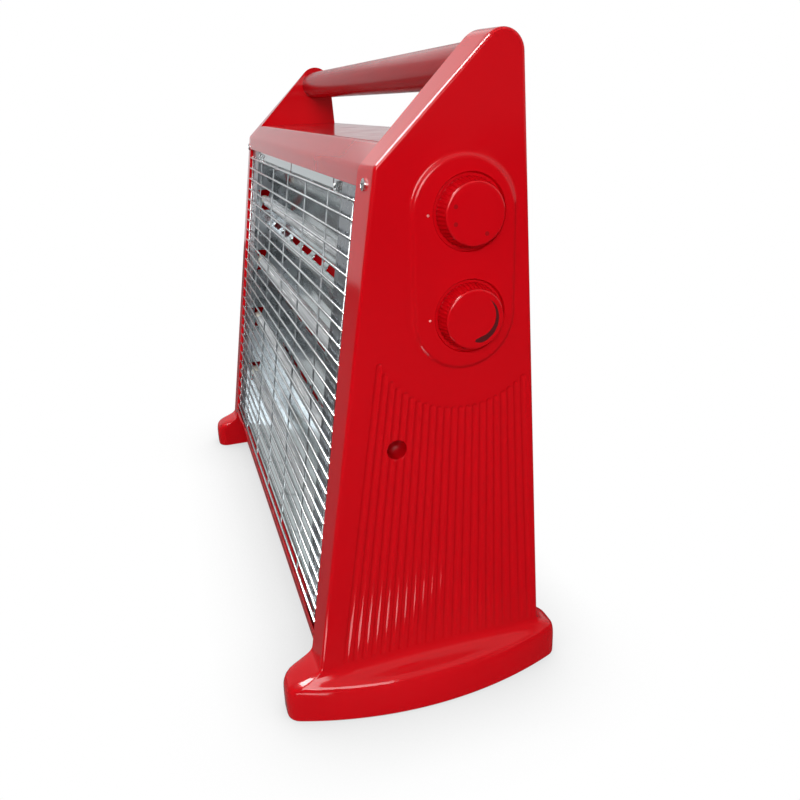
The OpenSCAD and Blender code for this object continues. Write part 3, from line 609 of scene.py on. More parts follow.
def corner_arc(before: np.ndarray, here: np.ndarray, after: np.ndarray,
               r: float) -> tuple[np.ndarray, float, float, float]:
    """Rounds the corner between two straight lines.

    Args:
        before: A point on the first line.
        here: The corner.
        after: A point on the second line.
        r: The radius.

    Returns:
        The arc's centre, radius, start angle and sweep.
    """
    u, v = ((p - here) / np.linalg.norm(p - here) for p in (before, after))
    half = math.acos(float(u @ v)) / 2
    centre = here + (u + v) / np.linalg.norm(u + v) * r / math.sin(half)
    ends = (here + w * r / math.tan(half) - centre for w in (u, v))
    start, stop = (math.atan2(y, x) for x, y in ends)
    return centre, r, start, (stop - start + math.pi) % math.tau - math.pi


# Sub-assemblies; their sizes are in millimetres


@dataclass
class Assembly:
    """A sub-assembly of the heater, with the finishes that dress its pieces."""

    finishes: Finishes

    def fit_out(self, piece: Object, slot: str, body: Body, *nodes: str,
                material: Material | None = None) -> None:
        """Dresses a piece, lets it ride and names the CAD nodes it stands for.

        Args:
            piece: The finished object.
            slot: Its slot.
            body: Its body.
            nodes: The nodes it replaces.
            material: Its own material, where it isn't the slot's.
        """
        coat = material or self.finishes.by_slot[slot]
        if not piece.data.materials:
            piece.data.materials.append(coat)
        for i in range(len(piece.data.materials)):
            piece.data.materials[i] = coat
        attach(piece, body.value)
        if nodes:
            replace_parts(piece, *nodes)
        LOG.info("%s: %d faces", piece.name, len(piece.data.polygons))


@dataclass
class SidePanel(Assembly):
    """Hollow moulded end of the heater: ear, drafted edges, flutes and a foot that flares out.

    Its columns follow the fan of flutes, and its draft runs from none at the inner face to all of
    it at the outer one.
    """

    inner_x: float = 242.0
    depth: float = 28.0
    wall: float = 3.5
    face_wall: float = 4.5
    front_foot_y: float = -85.5
    rear_foot_y: float = 95.0
    foot_h: float = 28.0
    front_lean: float = 9.2
    rear_lean: float = 3.07
    height: float = 461.9
    dome_r: float = 17.5
    corner_r: float = 10.0
    edge_r: float = 2.2
    slope_draft: float = 4.0
    corner_draft: float = 0.4
    corner_ease: float = 4.5
    front_draft: float = 2.0
    rear_draft: float = 2.0
    base_z: float = 41.0
    top_z: float = 400.5
    # The foot's plan, and by height the share of it that its side and its tips have reached.
    join_z: float = 41.0
    foot_half: float = 110.0
    foot_bulge: float = 21.98
    foot_corner_r: float = 11.0
    foot_straight: float = 0.4
    tip_reach: float = 0.16
    flare: tuple[Point, ...] = (
        (39.5, 0.0, 0.003), (38.0, 0.004, 0.02), (36.6, 0.015, 0.06), (35.3, 0.035, 0.13),
        (34.1, 0.07, 0.215), (33.0, 0.115, 0.315), (32.0, 0.17, 0.415), (31.1, 0.24, 0.515),
        (30.3, 0.32, 0.6), (29.6, 0.4, 0.67), (28.9, 0.49, 0.73), (28.2, 0.585, 0.785),
        (27.4, 0.665, 0.83), (26.4, 0.725, 0.875), (25.0, 0.775, 0.915), (23.0, 0.82, 0.95),
        (20.0, 0.862, 0.978), (16.0, 0.905, 0.994), (11.5, 0.945, 1.0), (6.0, 0.98, 1.0),
        (1.2, 1.0, 1.0), (0.35, 0.99, 0.99), (0.0, 0.97, 0.97))
    # The flutes, with the columns that each one has and how softly its lips are rounded.
    flute_n: int = 22
    flute_r: float = 2.5
    flute_depth: float = 1.0
    flute_arc_r: float = 64.6
    flute_foot_z: float = 37.0
    flute_fan_z: float = 730.0
    flute_margin: float = 19.0
    flute_end: tuple[float, float] = (-3.0, 4.0)
    lip_soft: float = 0.03
    lip_trim: float = 0.012
    run_out_z: float = 41.0
    run_out_h: float = 10.0
    across: tuple[float, ...] = (-2.35, -1.95, -1.55, -1.0, -0.35, 0.35, 1.0, 1.55, 1.95, 2.35)
    # Columns before, round the corner and behind the flutes; steps round the edge and inwards.
    n_front: int = 12
    n_arc: int = 6
    n_rear: int = 8
    n_round: int = 5
    n_flange: int = 8
    # The pad round the knobs, with its rim as distance beyond its radius and height.
    boss_y: float = 31.0
    knob_y: float = 34.2
    knob_zs: tuple[float, float] = (358.2, 292.4)
    boss_r: float = 34.0
    boss_h: float = 2.0
    boss_steps: int = 40
    boss_rim: Profile = (
        (2.9, -1.0), (2.9, 0.0), (2.1, 0.06), (1.45, 0.22), (0.95, 0.48), (0.55, 0.82),
        (0.2, 1.18), (-0.2, 1.48), (-0.7, 1.74), (-1.35, 1.92), (-2.1, 2.0))
    well_r: float = 24.0
    well_d: float = 2.4
    well_edge: float = 0.6
    well_lip: float = 0.5
    bush_r: float = 5.2
    index_r: float = 27.5
    index_dot: Profile = ((0, 0.45), (0.4, 0.4), (0.7, 0.25), (0.85, 0.0), (0.85, -0.3), (0, -0.3))
    # The screw's access hole and the handle's socket, as y and z.
    access: tuple[float, float] = (-18.0, 205.0)
    access_r: float = 7.0
    access_wall: float = 2.5
    access_chamfer: float = 0.7
    screw_r: float = 2.1
    screw_seat: float = 3.0
    handle: tuple[float, float] = (53.14, 442.52)
    socket_r: float = 9.2
    socket_d: float = 16.2
    socket_post_r: float = 12.5

    def front_y(self, z: float) -> float:
        """Gives the front edge at a height."""
        return self.front_foot_y + (z - self.foot_h) * math.tan(math.radians(self.front_lean))

    def rear_y(self, z: float) -> float:
        """Gives the rear edge at a height."""
        return self.rear_foot_y - (z - self.foot_h) * math.tan(math.radians(self.rear_lean))

    @property
    def outer_x(self) -> float:
        """The outer face."""
        return self.inner_x + self.depth

    @property
    def apex(self) -> np.ndarray:
        """The point above the heater from which the flutes fan out."""
        return np.array([self.front_y(self.flute_fan_z) + self.flute_margin, self.flute_fan_z])

    def corners(self) -> np.ndarray:
        """Works out the profile's sharp corners.

        Returns:
            Floor front, front corner, ear peak and floor rear, as y and z.
        """
        dome_z = self.height - self.dome_r
        dome_y = self.rear_y(dome_z) - self.dome_r / math.cos(math.radians(self.rear_lean))
        rise = dome_z - dome_y + self.dome_r * math.sqrt(2)
        tf, tr = (math.tan(math.radians(a)) for a in (self.front_lean, self.rear_lean))
        z1 = (rise + self.front_y(0)) / (1 - tf)
        z2 = (rise + self.rear_y(0)) / (1 + tr)
        return np.array([(self.front_y(0), 0), (z1 - rise, z1), (z2 - rise, z2),
                         (self.rear_y(0), 0)])

    def profile(self, share: float, d: float, front_share: float | None) -> tuple[list, list]:
        """Works out the profile at a share of the draft.

        Args:
            share: Share of the draft, from the inner to the outer face.
            d: Further inset all round.
            front_share: The front edge's own share of the draft, if it has one.

        Returns:
            Its corners, and the two rounded ones as centre, radius, start and sweep.
        """
        front = self.front_draft * (share if front_share is None else front_share)
        slope, low_slope = self.slope_draft * share + d, self.corner_draft * share + d
        rear = self.rear_draft * share + d
        p = self.corners() - np.array([(front, 0), (0, 0), (0, 0), (0, 0)])
        insets = ((front + d, front + d), (low_slope, slope), (rear, rear), (0.0, 0.0))
        lines = []
        for i, (start, stop) in enumerate(insets):
            u = p[(i + 1) % 4] - p[i]
            n = np.array([u[1], -u[0]]) / np.linalg.norm(u)
            a, b = p[i] + start * n, p[(i + 1) % 4] + stop * n
            lines.append((a, (b - a) / np.linalg.norm(b - a)))
        q = []
        for i in range(4):
            (a, u), (b, v) = lines[i - 1], lines[i]
            t = ((b - a)[0] * v[1] - (b - a)[1] * v[0]) / (u[0] * v[1] - u[1] * v[0])
            q.append(a + u * t)
        radii = (self.corner_r - self.corner_ease * share - d, self.dome_r - slope)
        return q, [corner_arc(*q[i:i + 3], max(r, 1)) for i, r in enumerate(radii)]

    def along(self, tau: Sequence[float], share: float, d: float, z0: float,
              front_share: float | None = None) -> np.ndarray:
        """Gives points along the profile, from the front at z0 over the ear to the rear at z0.

        Args:
            tau: Place of each point: 0-1 front, 1-2 corner, 2-3 slope, 3-4 dome, 4-5 rear.
            share: Share of the draft.
            d: Further inset.
            z0: Height at which both ends stop.
            front_share: The front edge's own share of the draft, if it has one.

        Returns:
            Y and z of each point.
        """
        q, arcs = self.profile(share, d, front_share)
        ends = [on_circle(c, r, a) for c, r, s, w in arcs for a in (s, s + w)]
        front, rear = (a + (b - a) * (z0 - a[1]) / (b[1] - a[1])
                       for a, b in ((q[0], q[1]), (q[3], q[2])))
        straight = {0: (front, ends[0]), 2: (ends[1], ends[2]), 4: (ends[3], rear)}
        out = np.zeros((len(tau), 2))
        for i, t in enumerate(tau):
            part = min(int(t), 4)
            f = t - part
            if part in straight:
                a, b = straight[part]
                out[i] = a + (b - a) * f
            else:
                c, r, s, w = arcs[part // 2]
                out[i] = on_circle(c, r, s + w * f)
        return out

    def flute_lines(self) -> list[tuple[np.ndarray, np.ndarray, float]]:
        """Lays the flutes below the arc round the lower knob.

        Returns:
            Each flute's lower end, direction and length.
        """
        y0 = self.front_y(self.flute_foot_z) + self.flute_margin
        y1 = self.rear_y(self.flute_foot_z) - self.flute_margin / 2
        lines = []
        for i in range(self.flute_n):
            low = np.array([y0 + (y1 - y0) * i / (self.flute_n - 1), self.flute_foot_z])
            u = (self.apex - low) / np.linalg.norm(self.apex - low)
            to = np.array([self.boss_y, self.knob_zs[1]]) - low
            run = float(to @ u)
            off = np.linalg.norm(to - run * u)
            lines.append((low, u, run - math.sqrt(max(self.flute_arc_r ** 2 - off ** 2, 1))))
        return lines

    def flute_sink(self, e: np.ndarray, run: np.ndarray, length: float) -> np.ndarray:
        """Gives how deep a flute lies at places beside and along it, with softly rounded lips.

        Args:
            e: Distance beside the flute's axis.
            run: Distance along it.
            length: Where its round end is centred.

        Returns:
            Depths in millimetres.
        """
        r = np.hypot(e, np.maximum(run - length, 0))
        lift = self.flute_r - self.flute_depth
        rim = math.sqrt(self.flute_r ** 2 - lift ** 2)
        inside = np.sqrt(np.maximum(self.flute_r ** 2 - np.minimum(r, rim) ** 2, 0)) - lift
        v = np.where(r < rim, inside, -(r - rim) * rim / lift)
        return np.maximum(0.5 * (v + np.sqrt(v * v + self.lip_soft)) - self.lip_trim, 0)

    def foot_plan(self, spread: np.ndarray) -> np.ndarray:
        """Gives the foot's outline for the columns of the lower edge.

        Args:
            spread: Place of the face's columns, from 0 at the front to 1 at the rear.

        Returns:
            X and y of each column, with those of the flanges before and behind.
        """
        half, r = self.foot_half, self.foot_corner_r
        big = (half ** 2 + self.foot_bulge ** 2) / (2 * self.foot_bulge)
        mid = self.outer_x + self.foot_bulge - big
        cx = mid + math.sqrt((big - r) ** 2 - (half - r) ** 2)
        phi = math.asin((half - r) / (big - r))
        side = [(mid + big * math.cos(a), big * math.sin(a)) for a in (2 * spread - 1) * phi]
        outer, inner = np.array([cx, r - half]), np.array([self.inner_x + r, r - half])
        front = []
        for k in range(1, self.n_round + 1):
            front.append(on_circle(outer, r, -phi + (-math.pi / 2 + phi) * k / self.n_round))
        for k in range(1, self.n_flange + 1):
            f = k / self.n_flange
            if f < self.foot_straight:
                front.append((cx + (inner[0] - cx) * f / self.foot_straight, -half))
            else:
                bend = (f - self.foot_straight) / (1 - self.foot_straight)
                front.append(on_circle(inner, r, -math.pi / 2 * (1 + bend)))
        rear = [(x, -y) for x, y in front]
        return np.array(front[::-1] + side + rear)

    def fan_columns(self) -> list[tuple[np.ndarray, np.ndarray, np.ndarray, float]]:
        """Lays the face's columns along the flutes, with plain ones before and behind them.

        Returns:
            Each column's points at the foot, below and above its flute's round end, and its
            place on the top edge.
        """
        z0, apex = self.join_z, self.apex
        marks = []
        for low, u, length in self.flute_lines():
            beside = np.array([u[1], -u[0]])
            for e in self.across:
                at = low + e * beside
                marks.append((at + u * (z0 - at[1]) / u[1],
                              *(at + u * (length + more) for more in self.flute_end)))
        tau_top = np.linspace(1, 4, 3001)
        top = self.along(tau_top, 1, self.edge_r, z0)
        angle = np.arctan2(top[:, 0] - apex[0], apex[1] - top[:, 1])
        run = np.concatenate([[0], np.cumsum(np.linalg.norm(np.diff(top, axis=0), axis=1))])
        taus = [float(np.interp(math.atan2(m[2][0] - apex[0], apex[1] - m[2][1]), angle, tau_top))
                for m in marks]
        # The front and rear edges have marks level with those of the nearest flute.
        edges = []
        for near, ends in ((marks[0], (0.0, 1.0)), (marks[-1], (5.0, 4.0))):
            foot, head = self.along(ends, 1, self.edge_r, z0)
            edges.append([foot + (head - foot) * (p[1] - z0) / (head[1] - z0) for p in near])
        columns = []
        s0, s1 = np.interp((2.0, taus[0]), tau_top, run)
        for k in range(self.n_front):
            s = s0 + (s1 - s0) * (k - self.n_arc) / (self.n_front - self.n_arc)
            tau = 1 + k / self.n_arc if k <= self.n_arc else float(np.interp(s, run, tau_top))
            w = k / self.n_front
            columns.append((*[a + (b - a) * w for a, b in zip(edges[0], marks[0])], tau))
        columns += [(*m, t) for m, t in zip(marks, taus)]
        s0 = np.interp(taus[-1], tau_top, run)
        for k in range(1, self.n_rear + 1):
            w = k / self.n_rear
            tau = float(np.interp(s0 + w * (run[-1] - s0), run, tau_top))
            columns.append((*[a + (b - a) * w for a, b in zip(marks[-1], edges[1])], tau))
        return columns

    def fluted_face(self, columns: Sequence[tuple], tau: Sequence[float]) -> np.ndarray:
        """Lays points up each column and sinks the flutes into them.

        Args:
            columns: What fan_columns gives.
            tau: Their places on the top edge.

        Returns:
            The outer face's points by row and column.
        """
        lines = self.flute_lines()
        tops = self.along(tau, 1, self.edge_r, self.join_z)
        below, end = np.linspace(0, 1, 15)[:-1], np.linspace(0, 1, 17)[:-1]
        above = np.linspace(0, 1, 9)
        fluted = len(below) + len(end)
        face = np.full((fluted + len(above), len(columns), 3), self.outer_x)
        for c, (low, a, b, _) in enumerate(columns):
            points = np.concatenate([low + np.outer(below, a - low), a + np.outer(end, b - a),
                                     b + np.outer(above, tops[c] - b)])
            face[:, c, 1:] = points
            flute = (c - self.n_front) // len(self.across)
            if 0 <= flute < self.flute_n:
                at, u, length = lines[flute]
                rel = points - at
                sink = self.flute_sink(rel @ np.array([u[1], -u[0]]), rel @ u, length)
                sink[fluted:] = 0
                # The flutes run out above the foot.
                left = np.clip((points[:, 1] - self.run_out_z) / self.run_out_h, 0, 1)
                face[:, c, 0] -= sink * eased(left)
        return face

    def shell(self, name: str) -> Object:
        """Lofts the closed outer form; flutes, drafts and flare need one worked-out grid.

        Args:
            name: The object's name.

        Returns:
            The closed solid at the right-hand side.
        """
        z0, er = self.join_z, self.edge_r
        columns = self.fan_columns()
        col_tau = np.array([c[3] for c in columns])
        face = self.fluted_face(columns, col_tau)
        number = np.arange(face[:, :, 0].size).reshape(face.shape[:2])
        points, faces = [face.reshape(-1, 3)], []

        def add_row(row: np.ndarray) -> np.ndarray:
            """Adds a row of points and gives their numbers."""
            points.append(row)
            return np.arange(len(row)) + sum(len(p) for p in points[:-1])

        def fill(rows: Sequence[np.ndarray]) -> None:
            """Fills quads between neighbouring rows of points."""
            for a, b in zip(rows[:-1], rows[1:]):
                faces.extend(np.column_stack([a[:-1], a[1:], b[1:], b[:-1]]).tolist())

        # From the face's rim, strips go round the edge and then along the flange to the inside.
        left = (face[:, 0, 2] - z0) / (face[-1, 0, 2] - z0)
        right = 5 - (face[:, -1, 2] - z0) / (face[-1, -1, 2] - z0)
        rim_tau = np.concatenate([np.minimum(left, 1.0), col_tau[1:-1], right[::-1]])
        strips = [np.concatenate([number[:, 0], number[-1, 1:-1], number[::-1, -1]])]
        turns = [math.pi / 2 * (1 - k / self.n_round) for k in range(1, self.n_round + 1)]
        steps = [(er * (1 - math.sin(a)), er * (1 - math.cos(a))) for a in turns]
        steps += [(er + (self.depth - er) * k / self.n_flange, 0.0)
                  for k in range(1, self.n_flange + 1)]
        sections = []
        for inwards, d in steps:
            x = self.outer_x - inwards
            sections.append((x, (x - self.inner_x) / self.depth, d))
            yz = self.along(rim_tau, *sections[-1][1:], z0)
            strips.append(add_row(np.column_stack([np.full(len(yz), x), yz])))
        fill(number)
        fill(strips)
        # The lower edge is one line: front flange, face, rear flange, carried down into the foot.
        rows = [np.concatenate([[s[0] for s in strips[:0:-1]], number[0],
                                [s[-1] for s in strips[1:]]])]
        spread = (face[0, :, 1] - face[0, 0, 1]) / (face[0, -1, 1] - face[0, 0, 1])
        plan = self.foot_plan(spread)
        lean = np.array([(a[0] - low[0]) / (a[1] - low[1]) for low, a, _, _ in columns])
        near = np.clip(np.minimum(spread, 1 - spread) / self.tip_reach, 0, 1)
        flange = np.ones(len(sections))
        tip = eased(np.concatenate([flange, 1 - near, flange]))
        for z, side_share, tip_share in self.flare:
            share = (side_share + (tip_share - side_share) * tip)[:, None]
            front, rear = ([(x, self.along((end,), s, d, z)[0][0]) for x, s, d in sections]
                           for end in (0.0, 5.0))
            ys = face[0, :, 1] + lean * (z - z0)
            line = np.array(front[::-1] + [(self.outer_x, y) for y in ys] + rear)
            line += (plan - line) * share
            rows.append(add_row(np.column_stack([line, np.full(len(line), z)])))
        fill(rows)
        inside = [r[0] for r in rows[::-1]] + strips[-1].tolist()[1:-1] + [r[-1] for r in rows]
        faces += [[int(i) for i in inside], rows[-1][::-1].tolist()]
        piece = mesh_piece(name, np.concatenate(points), faces=faces)
        clean(piece)
        return piece

    def hollow(self) -> Object:
        """Makes the cutter that leaves the panel's walls, open inwards between sill and ear.

        Returns:
            The cutter.
        """
        steps = (2, 7, 2, 13, 2)
        tau = [0.0] + [i + k / n for i, n in enumerate(steps) for k in range(1, n + 1)]
        loops = []
        for x in (self.inner_x + self.wall, self.outer_x - self.face_wall):
            yz = self.along(tau, (x - self.inner_x) / self.depth, self.wall, self.wall, 0.0)
            loops.append([(x, y, z) for y, z in yz])
        tool = lofted("hollow", loops)
        low, high = self.base_z + self.wall, self.top_z - self.wall
        front, brow, rear = self.along((0, 1, 5), 0.5, self.wall, low, 0.0)
        outline = [(front[0], low), tuple(brow), (brow[0] + high - brow[1], high),
                   (self.rear_y(high) - self.wall - 1, high), (rear[0], low)]
        mouth = pulled("mouth", outline, self.inner_x - 1, self.inner_x + self.wall + 8, True)
        combine(tool, mouth, Tool.ADDS)
        return tool

    def boss(self) -> Object:
        """Makes the raised pad round the knobs with its softly flared rim.

        Returns:
            The pad.
        """
        half_turn = [math.pi * k / self.boss_steps for k in range(self.boss_steps + 1)]
        loops = []
        for beyond, h in self.boss_rim:
            r = self.boss_r + beyond
            loops.append([(self.outer_x + h, self.boss_y + r * math.cos(start + a),
                           z + r * math.sin(start + a))
                          for z, start in zip(self.knob_zs, (0, math.pi)) for a in half_turn])
        return lofted("boss", loops)

    def round_cuts(self) -> tuple[Profile, Profile]:
        """Draws the profiles of the stepped round cutters.

        Returns:
            The well behind a knob, and the access hole with its screw hole.
        """
        floor, top = self.boss_h - self.well_d, self.boss_h
        r, edge, open_r = self.well_r, self.well_edge, self.well_r + self.well_lip
        well = ((0, floor), (r - edge, floor), (r, floor + edge), (r, top - edge),
                (open_r, top + 0.1), (open_r, top + 3), (0, top + 3))
        r, screw, seat = self.access_r, self.screw_r, self.screw_seat
        mouth = r + self.access_chamfer
        access = ((0, -1), (screw, -1), (screw, seat), (r, seat),
                  (r, self.depth - self.access_chamfer), (mouth, self.depth + 0.01),
                  (mouth, self.depth + 2), (0, self.depth + 2))
        return well, access

    def build(self, side: Side) -> None:
        """Makes one panel with its posts, holes and finish.

        Args:
            side: Which end.
        """
        node = side.name.lower() + "_side_panel"
        knobs = [axis_x(self.outer_x, self.knob_y, z) for z in self.knob_zs if side is Side.RIGHT]
        access, handle = (axis_x(self.inner_x, *at) for at in (self.access, self.handle))
        well_cut, access_cut = self.round_cuts()
        panel = self.shell(node + "_moulding")
        if knobs:
            combine(panel, self.boss(), Tool.ADDS)
        for place in knobs:
            combine(panel, turned("well", well_cut, 96, place), Tool.CUTS)
        combine(panel, self.hollow(), Tool.CUTS)
        core = self.depth - self.face_wall + 1
        for r, place in ((self.access_r + self.access_wall, access), (self.socket_post_r, handle)):
            combine(panel, turned("post", rod(r, 0.05, core), 48, place), Tool.ADDS)
        socket_cut = rod(self.socket_r, -1, self.socket_d)
        for cut, place in ((access_cut, access), (socket_cut, handle)):
            combine(panel, turned("bore", cut, 48, place), Tool.CUTS)
        for place in knobs:
            combine(panel, turned("bush", rod(self.bush_r, -20, 9), 32, place), Tool.CUTS)
        move(panel, Matrix.Scale(side.value, 4, (1, 0, 0)))
        smooth(panel, 38, 50)
        self.fit_out(panel, "red_moulding", Body.HEATER, node)
        if knobs:
            self.index_dots()

    def index_dots(self) -> None:
        """Sets a small moulded dome beside each knob; its pale colour is a painted highlight."""
        dot = turned("dot", self.index_dot, 24)
        smooth(dot, 40)
        for body, z in zip((Body.SELECTOR, Body.THERMOSTAT), self.knob_zs):
            place = axis_x(self.outer_x + self.boss_h, self.knob_y - self.index_r, z)
            self.fit_out(copied(dot, body.value + "_index_dot", place), "red_moulding",
                         Body.HEATER, material=self.finishes.paint)
        bpy.data.objects.remove(dot)


@dataclass
class Knobs(Assembly):
    """The two turned knobs, each with a ribbed side, a rounded rim and a printed face."""

    panel: SidePanel
    base_x: float = 270.2
    top_x: float = 281.5
    skirt_r: float = 22.0
    skirt_edge: float = 0.3
    rim_r: float = 19.7
    rim_round: float = 1.5
    side_share: float = 0.84
    # Radius and drop of the face, which is slightly crowned.
    face: Profile = ((0, 0), (6, 0), (11, 0.02), (15, 0.05))
    bore_r: float = 16.5
    roof: float = 2.5
    hub_r: float = 6.0
    hub_z: float = 3.4
    shaft_r: float = 3.02
    shaft_gap: float = 0.2
    ribs: int = 48
    rib_h: float = 0.5
    rib_crest: float = 0.7
    # The ribs are cut outside this radius and fade out at this share of the height.
    rib_from_r: float = 18.4
    rib_stop: float = 0.93
    rib_fade: float = 0.12
    # The printed marks stand this far above the face and reach this far into it.
    print_h: float = 0.015
    print_root: float = 0.2
    wedge_from: float = -92.0
    wedge_turn: float = 144.0
    wedge_r: float = 13.9
    wedge_drift: float = 1.6
    wedge_half: float = 2.3
    wedge_taper: float = 1.95
    dots_at: tuple[float, ...] = (158.0, 201.0, 301.0)
    dots_r: float = 14.2
    dot_r: float = 1.4

    def knob(self) -> Object:
        """Turns one knob on the z axis, with its base at zero.

        Returns:
            The knob.
        """
        h, rim, edge = self.top_x - self.base_x, self.rim_r, self.rim_round
        face = [(r, h - drop) for r, drop in self.face]
        arc = [(rim - edge + edge * math.cos(a), h - edge + edge * math.sin(a))
               for a in np.linspace(math.pi / 2, 0.15, 7)]
        side = [(self.skirt_r + (rim - self.skirt_r) * t, h * t * self.side_share)
                for t in np.linspace(1, 0.04, 9)]
        roof = h - self.roof
        inside = [(self.skirt_r - self.skirt_edge, 0), (self.bore_r, 0), (self.bore_r, roof),
                  (self.hub_r, roof), (self.hub_r, self.hub_z), (self.shaft_r, self.hub_z),
                  (self.shaft_r, roof - self.shaft_gap), (0, roof - self.shaft_gap)]
        knob = turned("knob", face + arc + side + inside, self.ribs * 6)
        for v in knob.data.vertices:
            r, t = math.hypot(v.co.x, v.co.y) / MM, v.co.z / MM / h
            if r > self.rib_from_r:
                wave = 0.5 - 0.5 * math.cos(self.ribs * math.atan2(v.co.y, v.co.x))
                fade = min(1, max(0, (self.rib_stop - t) / self.rib_fade))
                k = 1 - self.rib_h * wave ** self.rib_crest * fade / r
                v.co.x *= k
                v.co.y *= k
        smooth(knob, 50)
        return knob

    def wedge(self) -> None:
        """Prints the tapering arc that shows which way the thermostat rises."""
        y, z = self.panel.knob_y, self.panel.knob_zs[1]
        low, high = self.top_x - self.print_root, self.top_x + self.print_h
        loops = []
        for t in np.linspace(0, 1, 41):
            a = math.radians(self.wedge_from + self.wedge_turn * t)
            # Both ends are softly rounded.
            soft = min(1.0, 5 * t + 0.35, 6 * (1 - t) + 0.2)
            mid, half = self.wedge_r + self.wedge_drift * t, self.wedge_half - self.wedge_taper * t
            inner, outer = mid - half * soft, mid + half * soft
            loops.append([(x, y + r * math.cos(a), z + r * math.sin(a)) for x, r in (
                (low, inner), (high, inner), (high, outer), (low, outer))])
        self.fit_out(lofted("thermostat_mark", loops), "black_plastic", Body.THERMOSTAT,
                     material=self.finishes.ink)

    def dots(self) -> None:
        """Prints the selector's setting marks."""
        y, z = self.panel.knob_y, self.panel.knob_zs[0]
        dot = turned("dot", rod(self.dot_r, -self.print_root, self.print_h), 24)
        marks = [copied(dot, "mark", axis_x(self.top_x, *on_circle(
            np.array([y, z]), self.dots_r, math.radians(a)))) for a in self.dots_at]
        bpy.data.objects.remove(dot)
        self.fit_out(joined("selector_marks", marks), "black_plastic", Body.SELECTOR,
                     material=self.finishes.faded)

    def build(self) -> None:
        """Turns a knob once, copies it to both places and prints the marks."""
        knob = self.knob()
        for body, z, mark in zip((Body.SELECTOR, Body.THERMOSTAT), self.panel.knob_zs,
                                 (self.dots, self.wedge)):
            node = body.value + "_knob"
            place = axis_x(self.base_x, self.panel.knob_y, z)
            self.fit_out(copied(knob, node + "_turned", place), "red_moulding", body, node)
            mark()
        bpy.data.objects.remove(knob)


@dataclass
class Handle(Assembly):
    """Tubular bar between the ears, with a spigot in each ear's socket."""

    panel: SidePanel
    r: float = 14.0
    spigot_r: float = 9.0
    spigot: float = 16.0
    chamfer: float = 0.8

    def build(self) -> None:
        """Makes the bar with its stepped ends."""
        r, s, c, end = self.r, self.spigot_r, self.chamfer, self.panel.inner_x
        tip = end + self.spigot
        half = [(0, tip), (s - c, tip), (s, tip - c), (s, end), (r - c, end), (r, end - c)]
        bar = turned("handle_bar_turned", half + [(a, -b) for a, b in half[::-1]], 72,
                     axis_x(0, *self.panel.handle))
        smooth(bar, 40)
        self.fit_out(bar, "red_handle", Body.HEATER, "handle_bar")


@dataclass
class FoldedBody(Assembly):
    """Sheet-steel body between the panels: a cover with its fascia, and a pan with its sill."""

    panel: SidePanel
    sheet: float = 1.0
    bend_r: float = 5.0
    bend_steps: int = 10
    brow_r: float = 10.0
    lip_h: float = 11.2
    sill_h: float = 11.0
    rear_flange_h: float = 20.0
    edge: float = 0.25

    def fold(self, name: str, corners: Sequence[Point]) -> Object:
        """Draws a folded line, pulls it across the body and gives it the sheet's thickness.

        Args:
            name: The object's name.
            corners: Y, z and bend radius of each corner, with the outside on the line's left.

        Returns:
            The sheet.
        """
        line = [corners[0][:2]]
        for three in zip(corners, corners[1:], corners[2:]):
            c, r, start, sweep = corner_arc(*(np.array(p[:2]) for p in three), three[1][2])
            line += [tuple(on_circle(c, r, start + sweep * k / self.bend_steps))
                     for k in range(self.bend_steps + 1)]
        line.append(corners[-1][:2])
        sheet = pulled(name, line, -self.panel.inner_x, self.panel.inner_x, False)
        # Faces come in no fixed order, so the first strip is found by its place.
        start, stop = (Vector((0, *p)) * MM for p in line[:2])
        run, middle = stop - start, (start + stop) / 2
        strip = min(sheet.data.polygons, key=lambda face: (face.center - middle).length)
        if strip.normal.dot(Vector((0, -run.z, run.y))) < 0:
            sheet.data.flip_normals()
        apply(sheet, "SOLIDIFY", thickness=self.sheet * MM, offset=-1, use_even_offset=True)
        apply(sheet, "BEVEL", width=self.edge * MM, segments=2, limit_method="ANGLE",
              angle_limit=math.radians(60))
        smooth(sheet, 40, 100)
        return sheet

    def build(self) -> None:
        """Folds the cover and the pan."""
        p, bend = self.panel, self.bend_r
        brow_y, brow_z = (float(c) for c in p.corners()[1])
        lip, split = brow_z - self.lip_h, p.top_z - self.rear_flange_h
        low, sill = p.base_z, p.base_z + self.sill_h
        cover = ((p.front_y(lip), lip, 0), (brow_y, brow_z, self.brow_r),
                 (brow_y + p.top_z - brow_z, p.top_z, bend), (p.rear_y(p.top_z), p.top_z, bend),
                 (p.rear_y(split), split, 0))
        pan = ((p.rear_y(sill), sill, 0), (p.rear_y(low), low, bend), (p.front_y(low), low, bend),
               (p.front_y(sill), sill, 0))
        for node, corners in (("body_cover", cover), ("base_pan", pan)):
            self.fit_out(self.fold(node + "_folded", corners), "red_paint", Body.HEATER, node)


